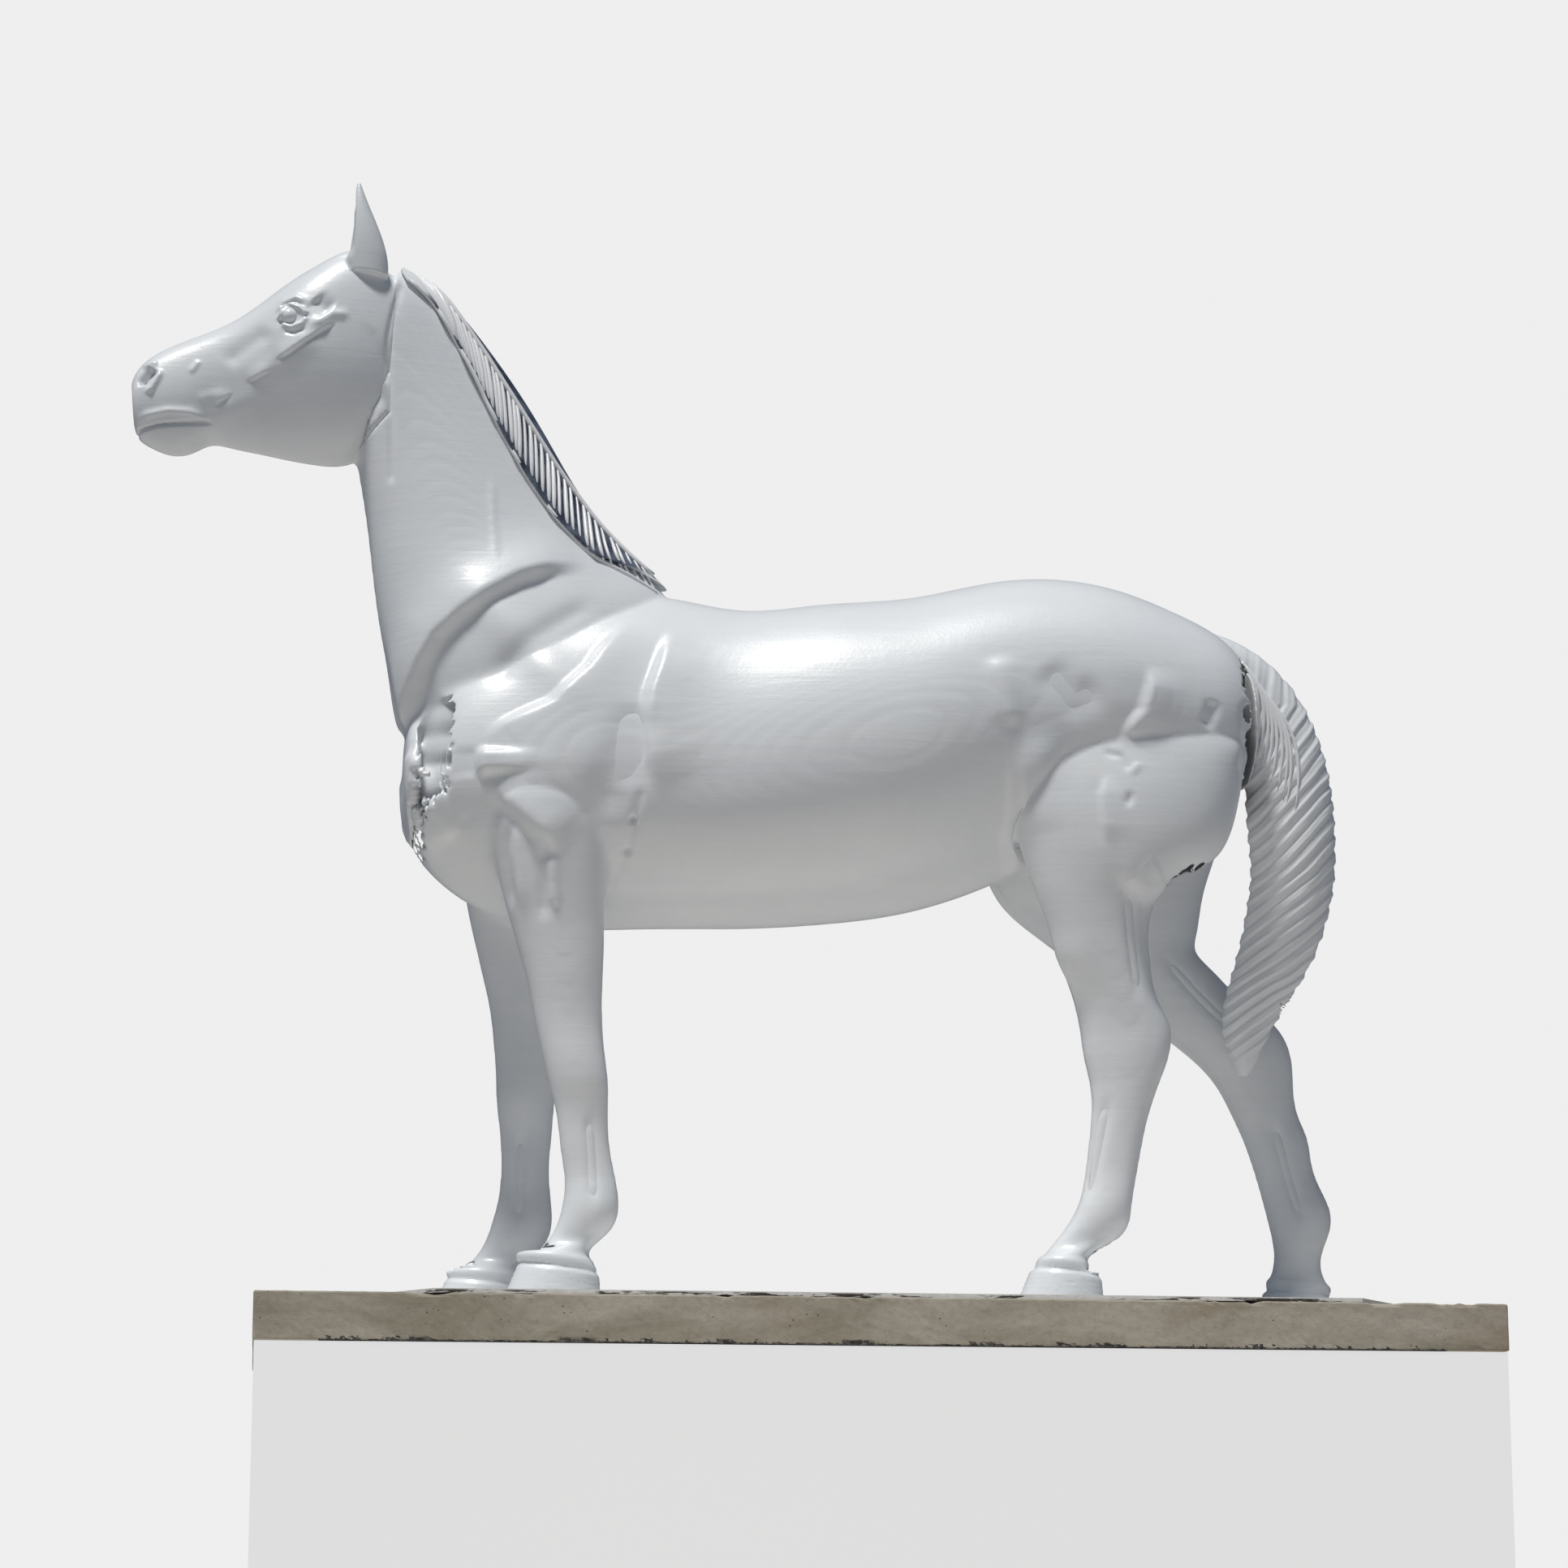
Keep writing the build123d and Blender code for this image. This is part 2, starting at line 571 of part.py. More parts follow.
def write_base():
    mesh = reinforcement()
    export("base_slab", base_slab(mesh))
    export("slab_reinforcement", mesh)
    export("mortar_bed", mortar_bed())
    export("base_plate", base_plate())
    export("plate_anchors", Compound([plate_anchor(x, y) for x, y in anchor_centres()]))
    export("rod_washers", Compound([anchor_washer(x, y) for x, y in foot_centres()]))
    export("rod_nuts", Compound([anchor_nut(x, y) for x, y in foot_centres()]))


def write_armature(torso_inner):
    for name, side, path in (
        ("left_fore_rod", LEFT, LEFT_FORE_ROD), ("right_fore_rod", RIGHT, RIGHT_FORE_ROD),
        ("left_hind_rod", LEFT, LEFT_HIND_ROD), ("right_hind_rod", RIGHT, RIGHT_HIND_ROD),
    ):
        export(name, leg_rod(path, side))
    export("fore_crossbar", crossbar(FORE_CROSSBAR_X))
    export("hind_crossbar", crossbar(HIND_CROSSBAR_X))
    export("spine_beam", spine_beam())
    export("neck_post", neck_post())
    export("head_stay", head_stay())
    export("tail_rod", tail_rod())
    for i, x in enumerate(FORMER_XS):
        export(f"former_{i + 1}", former(x, torso_inner))


def write_trunk(outer, inner):
    neck_way = body(NECK, -NECK_WAY_MARGIN)
    shell = outer - inner - neck_way - bar(TAIL_ROD, TAIL_ROD_R + ROD_CLEARANCE)
    front = shell - beyond(GIRTH_JOINT, GIRTH_LEAN)
    back = shell & beyond(GIRTH_JOINT, GIRTH_LEAN)
    middle = back - beyond(LOIN_JOINT, LOIN_LEAN)
    rear = back & beyond(LOIN_JOINT, LOIN_LEAN)
    for name, side in (("left", LEFT), ("right", RIGHT)):
        export(f"{name}_forehand", solid_of(half(front, side)))
        export(f"{name}_barrel", solid_of(half(middle, side)))
        export(f"{name}_hindquarter", solid_of(half(rear, side)))


def write_head_and_neck(outer):
    neck = body(NECK)
    head = body(HEAD)
    neck_shell = neck - body(NECK, -WALL) - outer - head
    head_shell = head - body(HEAD[1:-1], -WALL) - bar(NECK_POST, NECK_POST_R + ROD_CLEARANCE)
    for name, side in (("left", LEFT), ("right", RIGHT)):
        export(f"{name}_neck", solid_of(half(neck_shell, side)))
        export(f"{name}_head", solid_of(half(head_shell, side) - eye(side)))
        export(f"{name}_ear", ear(side, head))
        export(f"{name}_eye", eye(side))
    export("mane", mane(neck, [outer, head]))


def write_legs_and_tail(outer):
    for name in ("left", "right"):
        side, foreleg, hindleg, fore_hoof, hind_hoof, coronets = side_parts(name)
        export(f"{name}_foreleg", leg_shell(foreleg, side, FORELEG_JOINT_Z, coronets[0], outer))
        export(f"{name}_hindleg", leg_shell(hindleg, side, HINDLEG_JOINT_Z, coronets[1], outer))
        export(f"{name}_fore_hoof", hoof(fore_hoof, side, coronets[0]))
        export(f"{name}_hind_hoof", hoof(hind_hoof, side, coronets[1]))
    export("tail", tail(outer))


def main():
    outer = trunk()
    inner = trunk(-WALL)
    write_base()
    write_armature(body(TORSO[1:-1], -WALL))
    write_trunk(outer, inner)
    write_head_and_neck(outer)
    write_legs_and_tail(outer)
    export("girth_tape", joint_tape(inner, GIRTH_JOINT, GIRTH_LEAN))
    export("loin_tape", joint_tape(inner, LOIN_JOINT, LOIN_LEAN))


if __name__ == "__main__":
    main()
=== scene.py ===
"""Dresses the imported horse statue: painted mouldings, mane, tail, hooves, slab and studio."""

import math

import bmesh
import bpy
import numpy as np
from bpy.props import FloatProperty, FloatVectorProperty, IntProperty, PointerProperty
from mathutils import Matrix, Vector, noise
from mathutils.bvhtree import BVHTree


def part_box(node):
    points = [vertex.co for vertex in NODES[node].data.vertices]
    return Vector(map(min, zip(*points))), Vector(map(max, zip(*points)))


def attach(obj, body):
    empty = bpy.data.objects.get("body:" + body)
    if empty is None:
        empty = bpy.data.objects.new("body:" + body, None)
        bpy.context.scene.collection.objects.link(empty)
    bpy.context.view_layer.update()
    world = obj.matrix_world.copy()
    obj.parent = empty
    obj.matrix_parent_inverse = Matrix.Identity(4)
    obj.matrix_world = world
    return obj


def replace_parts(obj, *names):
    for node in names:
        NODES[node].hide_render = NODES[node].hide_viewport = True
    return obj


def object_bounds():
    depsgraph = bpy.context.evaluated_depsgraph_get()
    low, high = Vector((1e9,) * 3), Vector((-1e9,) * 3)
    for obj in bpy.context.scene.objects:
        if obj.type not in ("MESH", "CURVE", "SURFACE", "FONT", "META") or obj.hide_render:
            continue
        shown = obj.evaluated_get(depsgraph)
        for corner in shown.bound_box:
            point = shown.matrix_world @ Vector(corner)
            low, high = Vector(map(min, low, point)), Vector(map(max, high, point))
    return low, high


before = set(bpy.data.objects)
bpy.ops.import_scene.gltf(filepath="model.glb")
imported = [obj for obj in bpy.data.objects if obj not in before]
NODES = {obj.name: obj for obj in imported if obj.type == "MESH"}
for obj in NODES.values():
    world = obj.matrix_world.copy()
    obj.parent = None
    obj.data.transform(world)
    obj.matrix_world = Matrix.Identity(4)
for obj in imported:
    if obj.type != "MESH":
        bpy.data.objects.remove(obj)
CAD_BOX = [list(corner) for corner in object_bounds()]

bl_info = {
    "name": "Painted Horse Statue",
    "version": (1, 0, 0),
    "blender": (4, 5, 0),
    "location": "View3D > Sidebar > Horse Statue",
    "description": "Painted glass-fibre horse on a concrete slab",
    "category": "Object",
}

LEFT = -1
RIGHT = 1
SLAB_LOW, SLAB_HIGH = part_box("base_slab")
PLATE_LOW, PLATE_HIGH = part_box("base_plate")


# ---- settings -----------------------------------------------------------------------------
class HorseForm(bpy.types.PropertyGroup):
    body_grain: FloatProperty(
        name="Body grain", description="Mesh size of the body mouldings",
        default=0.0055, min=0.003, max=0.02, unit="LENGTH",
    )
    head_grain: FloatProperty(
        name="Head grain", description="Mesh size of the head, mane and tail",
        default=0.003, min=0.002, max=0.01, unit="LENGTH",
    )
    relief: FloatProperty(
        name="Relief", description="Strength of the modelled muscles and creases",
        default=1.0, min=0.0, max=2.0, subtype="FACTOR",
    )
    mane_locks: IntProperty(
        name="Mane locks", description="Locks of hair along the crest of the neck", default=38, min=8, max=90,
    )
    tail_locks: IntProperty(
        name="Tail locks", description="Locks of hair round the tail", default=46, min=8, max=90,
    )


class HorsePaint(bpy.types.PropertyGroup):
    paint: FloatVectorProperty(
        name="Paint", description="White paint of the horse", subtype="COLOR", size=3,
        default=(0.83, 0.85, 0.87), min=0.0, max=1.0,
    )
    # this colour fills the hollows and creases: grime, and painted shade as well
    grime_and_crease_shade: FloatVectorProperty(
        name="Grime and crease shade", description="Dust and dirt held in creases", subtype="COLOR", size=3,
        default=(0.26, 0.29, 0.34), min=0.0, max=1.0,
    )
    concrete: FloatVectorProperty(
        name="Concrete", description="Slab concrete", subtype="COLOR", size=3,
        default=(0.36, 0.33, 0.28), min=0.0, max=1.0,
    )
    mortar: FloatVectorProperty(
        name="Mortar", description="Damp bedding mortar", subtype="COLOR", size=3,
        default=(0.035, 0.034, 0.032), min=0.0, max=1.0,
    )


class HorseStage(bpy.types.PropertyGroup):
    azimuth: FloatProperty(
        name="Azimuth", description="Direction that the camera looks from, left of square-on",
        default=math.radians(-7.0), subtype="ANGLE",
    )
    elevation: FloatProperty(
        name="Elevation", description="Height angle of the camera, negative from below",
        default=math.radians(-12.0), subtype="ANGLE",
    )
    distance: FloatProperty(name="Distance", description="Camera distance", default=8.6, unit="LENGTH")
    lens: FloatProperty(name="Lens", description="Focal length in millimetres", default=97.11, min=10.0, max=400.0)
    key_power: FloatProperty(name="Key", description="Strength of the key light", default=3.1, min=0.0)
    sky: FloatVectorProperty(
        name="Sky", description="Even studio light from all round", subtype="COLOR", size=3,
        default=(0.52, 0.66, 0.88), min=0.0, max=1.0,
    )
    floor: FloatVectorProperty(
        name="Floor", description="Studio floor and plinth", subtype="COLOR", size=3,
        default=(0.05, 0.05, 0.05), min=0.0, max=1.0,
    )


# ---- mesh helpers -------------------------------------------------------------------------
def keep_object(name, mesh, material, body="root"):
    """Links a finished mesh, gives it its material and lets it ride on the statue."""
    piece = bpy.data.objects.new(name, mesh)
    bpy.context.scene.collection.objects.link(piece)
    piece.data.materials.clear()
    piece.data.materials.append(material)
    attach(piece, body)
    return piece


def mesh_from(bm, name, smooth=True):
    mesh = bpy.data.meshes.new(name)
    bm.to_mesh(mesh)
    bm.free()
    mesh.polygons.foreach_set("use_smooth", np.full(len(mesh.polygons), smooth))
    mesh.update()
    return mesh


def clay_from(nodes, plugs=()):
    """One loose lump of the CAD mouldings named, with balls (centre, radius) that close their holes."""
    bm = bmesh.new()
    for node in nodes:
        bm.from_mesh(NODES[node].data)
    bmesh.ops.remove_doubles(bm, verts=bm.verts, dist=1e-5)
    for centre, radius in plugs:
        bmesh.ops.create_icosphere(bm, subdivisions=3, radius=radius, matrix=Matrix.Translation(centre))
    return mesh_from(bm, "clay")


def with_modifiers(mesh, *settings):
    """The mesh after the modifiers given as (type, {property: value})."""
    holder = bpy.data.objects.new("holder", mesh)
    bpy.context.scene.collection.objects.link(holder)
    for kind, values in settings:
        modifier = holder.modifiers.new(kind.title(), kind)
        for key, value in values.items():
            setattr(modifier, key, value)
    bpy.context.view_layer.update()
    evaluated = holder.evaluated_get(bpy.context.evaluated_depsgraph_get())
    made = bpy.data.meshes.new_from_object(evaluated)
    bpy.data.objects.remove(holder)
    return made


def remeshed(mesh, grain):
    return with_modifiers(mesh, ("REMESH", {"mode": "VOXEL", "voxel_size": grain, "use_smooth_shade": True}))


def outer_island(mesh):
    """Drops every separate shell but the one that reaches furthest."""
    count = len(mesh.vertices)
    edges = edge_pairs(mesh)
    label = np.arange(count)
    while True:
        low = np.minimum(label[edges[:, 0]], label[edges[:, 1]])
        before = label.copy()
        np.minimum.at(label, edges[:, 0], low)
        np.minimum.at(label, edges[:, 1], low)
        label = label[label]
        if np.array_equal(before, label):
            break
    co = coords(mesh)
    reach = co @ np.array([1.0, 0.3, 0.2])
    keep = label == label[int(np.argmax(reach))]
    bm = bmesh.new()
    bm.from_mesh(mesh)
    bm.verts.ensure_lookup_table()
    bmesh.ops.delete(bm, geom=[bm.verts[i] for i in np.flatnonzero(~keep)], context="VERTS")
    return mesh_from(bm, mesh.name)


def coords(mesh):
    co = np.empty(len(mesh.vertices) * 3)
    mesh.vertices.foreach_get("co", co)
    return co.reshape(-1, 3)


def set_coords(mesh, co):
    mesh.vertices.foreach_set("co", co.ravel())
    mesh.update()


def normals(mesh):
    nor = np.empty(len(mesh.vertices) * 3)
    mesh.vertices.foreach_get("normal", nor)
    return nor.reshape(-1, 3)


def edge_pairs(mesh):
    pairs = np.empty(len(mesh.edges) * 2, int)
    mesh.edges.foreach_get("vertices", pairs)
    return pairs.reshape(-1, 2)


def relaxed(co, edges, steps, weight=1.0):
    """Smooths points along the edges without shrinking the form."""
    count = len(co)
    degree = np.bincount(edges.ravel(), minlength=count).astype(float)
    weight = np.broadcast_to(weight, (count,))[:, None]
    for step in range(steps * 2):
        total = np.empty_like(co)
        for k in range(3):
            total[:, k] = np.bincount(edges[:, 0], co[edges[:, 1], k], count)
            total[:, k] += np.bincount(edges[:, 1], co[edges[:, 0], k], count)
        pull = total / np.maximum(degree, 1)[:, None] - co
        co = co + pull * weight * (0.6 if step % 2 == 0 else -0.61)
    return co


def softened(co, edges, steps, weight):
    """Plain smoothing, which fills creases, for the junctions between forms."""
    count = len(co)
    degree = np.bincount(edges.ravel(), minlength=count).astype(float)
    weight = np.broadcast_to(weight, (count,))[:, None]
    for _ in range(steps):
        total = np.empty_like(co)
        for k in range(3):
            total[:, k] = np.bincount(edges[:, 0], co[edges[:, 1], k], count)
            total[:, k] += np.bincount(edges[:, 1], co[edges[:, 0], k], count)
        co = co + (total / np.maximum(degree, 1)[:, None] - co) * weight * 0.5
    return co


def smooth_step(low, high, value):
    t = np.clip((value - low) / (high - low), 0.0, 1.0)
    return t * t * (3 - 2 * t)


# ---- modelling tools ----------------------------------------------------------------------
class Clay:
    """A mesh under the modelling tools. Lines are (x, z) points seen from one side."""

    def __init__(self, mesh, strength=1.0):
        self.mesh = mesh
        self.co = coords(mesh)
        self.edges = edge_pairs(mesh)
        self.strength = strength
        self.refresh()

    def refresh(self):
        set_coords(self.mesh, self.co)
        self.nor = normals(self.mesh)
        self.push = np.zeros(len(self.co))

    def facing(self, side):
        """How squarely each point looks out to one side, and only on that side."""
        out = smooth_step(0.05, 0.45, self.nor[:, 1] * side)
        return out * smooth_step(-0.004, 0.012, self.co[:, 1] * side)

    def along(self, line, reach):
        """Points near a line: index, distance, side of the line and way along it."""
        pts = np.array(line, float)
        x, z = self.co[:, 0], self.co[:, 2]
        near = np.flatnonzero(
            (x > pts[:, 0].min() - reach) & (x < pts[:, 0].max() + reach)
            & (z > pts[:, 1].min() - reach) & (z < pts[:, 1].max() + reach)
        )
        p = self.co[near][:, [0, 2]]
        best = np.full(len(near), 1e9)
        hand = np.zeros(len(near))
        way = np.zeros(len(near))
        lengths = np.hypot(*(pts[1:] - pts[:-1]).T)
        done = 0.0
        for a, b, length in zip(pts[:-1], pts[1:], lengths):
            ab = b - a
            t = np.clip(((p - a) @ ab) / max(length ** 2, 1e-12), 0, 1)
            away = p - (a + t[:, None] * ab)
            d = np.hypot(away[:, 0], away[:, 1])
            closer = d < best
            cross = ab[0] * (p[:, 1] - a[1]) - ab[1] * (p[:, 0] - a[0])
            best = np.where(closer, d, best)
            hand = np.where(closer, np.sign(cross), hand)
            way = np.where(closer, (done + t * length) / lengths.sum(), way)
            done += length
        return near, best, hand, way

    def ends(self, way, fade):
        if fade <= 0:
            return np.ones_like(way)
        return smooth_step(0, fade, way) * smooth_step(0, fade, 1 - way)

    def ridge(self, side, line, width, height, fade=0.25):
        """A rounded ridge along a line, or a groove where height is negative."""
        near, d, _, way = self.along(line, width * 2.6)
        lift = height * np.exp(-((d / width) ** 2)) * self.ends(way, fade)
        self.push[near] += lift * self.facing(side)[near] * self.strength

    def swell(self, side, centre, radii, height, turn=0.0):
        """A rounded mass, with its long radius turned by some degrees."""
        c, s = math.cos(math.radians(turn)), math.sin(math.radians(turn))
        dx, dz = self.co[:, 0] - centre[0], self.co[:, 2] - centre[1]
        u, v = (dx * c + dz * s) / radii[0], (dz * c - dx * s) / radii[1]
        lift = height * np.exp(-(u ** 2 + v ** 2))
        self.push += lift * self.facing(side) * self.strength

    def fold(self, side, line, lift, fall, edge=0.006, crack=0.0, fade=0.2):
        """A form that overlaps its neighbour: the left-hand side of the line stands proud."""
        near, d, hand, way = self.along(line, fall * 2.4)
        proud = np.exp(-((d / fall) ** 2))
        low = -0.22 * np.exp(-((d / (fall * 0.8)) ** 2))
        t = smooth_step(-edge, edge, d * hand)
        shape = (proud * t + low * (1 - t)) * lift - crack * np.exp(-((d / (edge * 0.8)) ** 2))
        self.push[near] += shape * self.ends(way, fade) * self.facing(side)[near] * self.strength

    def settle(self, steps=1):
        """Moves the points by the strokes so far, then relaxes them a little."""
        self.co = self.co + self.nor * self.push[:, None]
        if steps:
            self.co = relaxed(self.co, self.edges, steps)
        self.refresh()


def both_sides(clay, tool, *args, **kwargs):
    for side in (LEFT, RIGHT):
        getattr(clay, tool)(side, *args, **kwargs)


# ---- shading ------------------------------------------------------------------------------
def value_group(name, inputs, outputs):
    """An empty shader node group with float or colour sockets, each given as (name, kind, default)."""
    group = bpy.data.node_groups.new(name, "ShaderNodeTree")
    for label, kind, default in inputs:
        socket = group.interface.new_socket(label, in_out="INPUT", socket_type=kind)
        if default is not None:
            socket.default_value = default
    for label, kind in outputs:
        group.interface.new_socket(label, in_out="OUTPUT", socket_type=kind)
    start = group.nodes.new("NodeGroupInput")
    end = group.nodes.new("NodeGroupOutput")
    return group, start, end


class Wiring:
    """Adds nodes to a tree and joins them."""

    def __init__(self, tree):
        self.tree = tree

    def node(self, kind, **values):
        made = self.tree.nodes.new(kind)
        for key, value in values.items():
            setattr(made, key, value)
        return made

    def join(self, source, target):
        self.tree.links.new(source, target)

    def noise(self, vector, scale, detail=4.0, rough=0.55, warp=0.0):
        made = self.node("ShaderNodeTexNoise")
        made.inputs["Scale"].default_value = scale
        made.inputs["Detail"].default_value = detail
        made.inputs["Roughness"].default_value = rough
        made.inputs["Distortion"].default_value = warp
        self.join(vector, made.inputs["Vector"])
        return made.outputs["Fac"]

    def ramp(self, value, low, high, to_low=0.0, to_high=1.0):
        made = self.node("ShaderNodeMapRange", interpolation_type="SMOOTHSTEP")
        made.inputs["From Min"].default_value = low
        made.inputs["From Max"].default_value = high
        made.inputs["To Min"].default_value = to_low
        made.inputs["To Max"].default_value = to_high
        self.join(value, made.inputs["Value"])
        return made.outputs["Result"]

    def math(self, operation, first, second):
        made = self.node("ShaderNodeMath", operation=operation)
        for i, value in enumerate((first, second)):
            if isinstance(value, (int, float)):
                made.inputs[i].default_value = value
            else:
                self.join(value, made.inputs[i])
        return made.outputs[0]

    def mix(self, factor, first, second):
        made = self.node("ShaderNodeMix", data_type="RGBA")
        self.join(factor, made.inputs["Factor"]) if not isinstance(factor, float) else None
        if isinstance(factor, float):
            made.inputs["Factor"].default_value = factor
        for label, value in (("A", first), ("B", second)):
            socket = [s for s in made.inputs if s.name == label and s.type == "RGBA"][0]
            if isinstance(value, (tuple, list)):
                socket.default_value = (*value[:3], 1.0)
            else:
                self.join(value, socket)
        return [s for s in made.outputs if s.type == "RGBA"][0]

    def stretched(self, vector, scale, turn=(0.0, 0.0, 0.0)):
        made = self.node("ShaderNodeMapping")
        made.inputs["Scale"].default_value = scale
        made.inputs["Rotation"].default_value = turn
        self.join(vector, made.inputs["Vector"])
        return made.outputs["Vector"]


def brush_marks_group():
    """Streaks left by a wide brush, long in one direction and fine in the other."""
    group, start, end = value_group(
        "Brush marks", [("Vector", "NodeSocketVector", None), ("Amount", "NodeSocketFloat", 1.0)],
        [("Streak", "NodeSocketFloat"), ("Height", "NodeSocketFloat")],
    )
    w = Wiring(group)
    fine = w.noise(w.stretched(start.outputs["Vector"], (5.0, 5.0, 75.0)), 1.0, 3.0, 0.6, 0.4)
    broad = w.noise(w.stretched(start.outputs["Vector"], (1.6, 1.6, 14.0)), 1.0, 2.0, 0.5, 0.8)
    both = w.math("ADD", w.math("MULTIPLY", fine, 0.5), w.math("MULTIPLY", broad, 0.5))
    streak = w.math("MULTIPLY", w.ramp(both, 0.35, 0.65), start.outputs["Amount"])
    w.join(streak, end.inputs["Streak"])
    w.join(w.math("MULTIPLY", fine, start.outputs["Amount"]), end.inputs["Height"])
    return group


def grime_and_crease_shade_group():
    """Blue-grey in hollows and creases, partly grime and partly painted shade, and a thin dust film in random patches.
    """
    group, start, end = value_group(
        "Grime and crease shade", [("Vector", "NodeSocketVector", None), ("Amount", "NodeSocketFloat", 1.0)],
        [("Mask", "NodeSocketFloat"), ("Film", "NodeSocketFloat")],
    )
    w = Wiring(group)
    hollow = w.node("ShaderNodeAttribute", attribute_name="hollow").outputs["Fac"]
    patch = w.noise(start.outputs["Vector"], 9.0, 6.0, 0.62, 0.6)
    speck = w.noise(start.outputs["Vector"], 42.0, 4.0, 0.7)
    # the hollow mask darkens creases: grime there, and painted shade where shade falls in them
    depth = w.math("MULTIPLY", hollow, w.ramp(patch, 0.25, 0.7, 0.45, 1.0))
    w.join(w.math("MULTIPLY", w.ramp(depth, 0.18, 0.75), start.outputs["Amount"]), end.inputs["Mask"])
    film = w.math("MULTIPLY", w.ramp(patch, 0.42, 0.75), w.ramp(speck, 0.35, 0.7, 0.4, 1.0))
    w.join(w.math("MULTIPLY", film, start.outputs["Amount"]), end.inputs["Film"])
    return group


def shared_group(name, builder):
    return bpy.data.node_groups.get(name) or builder()


def fresh_material(name, colour, roughness):
    material = bpy.data.materials.new(name)
    material.use_nodes = True
    shader = material.node_tree.nodes["Principled BSDF"]
    shader.inputs["Base Color"].default_value = (*colour, 1.0)
    shader.inputs["Roughness"].default_value = roughness
    material.diffuse_color = (*colour, 1.0)
    w = Wiring(material.node_tree)
    place = w.node("ShaderNodeTexCoord").outputs["Object"]
    return material, shader, w, place


def add_bump(w, shader, height, distance, strength=1.0):
    bump = w.node("ShaderNodeBump")
    bump.inputs["Distance"].default_value = distance
    bump.inputs["Strength"].default_value = strength
    w.join(height, bump.inputs["Height"])
    w.join(bump.outputs["Normal"], shader.inputs["Normal"])


def painted_moulding(name="Painted moulding", grime_and_shade=1.0, streaks=1.0):
    """White gloss paint over glass fibre, brushed on, dusty, and blue-grey in its creases as grime and painted shade.
    """
    found = bpy.data.materials.get(name)
    if found:
        return found
    look = bpy.context.scene.horse_paint
    material, shader, w, place = fresh_material(name, tuple(look.paint), 0.34)
    brush = w.node("ShaderNodeGroup", node_tree=shared_group("Brush marks", brush_marks_group))
    brush.inputs["Amount"].default_value = streaks
    w.join(place, brush.inputs["Vector"])
    grime_and_crease_shade = w.node("ShaderNodeGroup", node_tree=shared_group("Grime and crease shade", grime_and_crease_shade_group))
    grime_and_crease_shade.inputs["Amount"].default_value = grime_and_shade
    w.join(place, grime_and_crease_shade.inputs["Vector"])
    paint = tuple(look.paint)
    thin = tuple(c * f for c, f in zip(paint, (0.93, 0.945, 0.965)))
    base = w.mix(w.math("MULTIPLY", brush.outputs["Streak"], 0.55), paint, thin)
    dusty = w.mix(w.math("MULTIPLY", grime_and_crease_shade.outputs["Film"], 0.10), base, (0.60, 0.56, 0.49))
    # painted shade and grime in the creases
    colour = w.mix(grime_and_crease_shade.outputs["Mask"], dusty, tuple(look.grime_and_crease_shade))
    w.join(colour, shader.inputs["Base Color"])
    rough = w.math("ADD", w.math("MULTIPLY", brush.outputs["Streak"], 0.10), 0.30)
    w.join(w.math("ADD", rough, w.math("MULTIPLY", grime_and_crease_shade.outputs["Mask"], 0.35)), shader.inputs["Roughness"])
    shader.inputs["Coat Weight"].default_value = 0.22
    shader.inputs["Coat Roughness"].default_value = 0.16
    orange_peel = w.noise(place, 150.0, 2.0, 0.5)
    height = w.math("ADD", w.math("MULTIPLY", brush.outputs["Height"], 0.7), w.math("MULTIPLY", orange_peel, 0.35))
    add_bump(w, shader, height, 0.0008, 0.8)
    return material


def hollow_mask(mesh, reach=3):
    """Stores how far each point lies in a hollow, for the grime and painted crease shade."""
    co = coords(mesh)
    edges = edge_pairs(mesh)
    count = len(co)
    degree = np.maximum(np.bincount(edges.ravel(), minlength=count), 1).astype(float)
    mean = co.copy()
    for _ in range(reach):
        total = np.empty_like(co)
        for k in range(3):
            total[:, k] = np.bincount(edges[:, 0], mean[edges[:, 1], k], count)
            total[:, k] += np.bincount(edges[:, 1], mean[edges[:, 0], k], count)
        mean = 0.4 * mean + 0.6 * total / degree[:, None]
    depth = np.einsum("ij,ij->i", mean - co, normals(mesh))
    value = np.clip(depth / 0.0034, 0.0, 1.0)
    layer = mesh.attributes.get("hollow") or mesh.attributes.new("hollow", "FLOAT", "POINT")
    layer.data.foreach_set("value", value.astype(np.float32))


# ---- cutting the skin into mouldings ------------------------------------------------------
def store_normals(mesh):
    """Keeps the whole skin's normals, so that a cut leaves no line in the paint."""
    layer = mesh.attributes.new("skin_normal", "FLOAT_VECTOR", "POINT")
    layer.data.foreach_set("vector", normals(mesh).ravel())


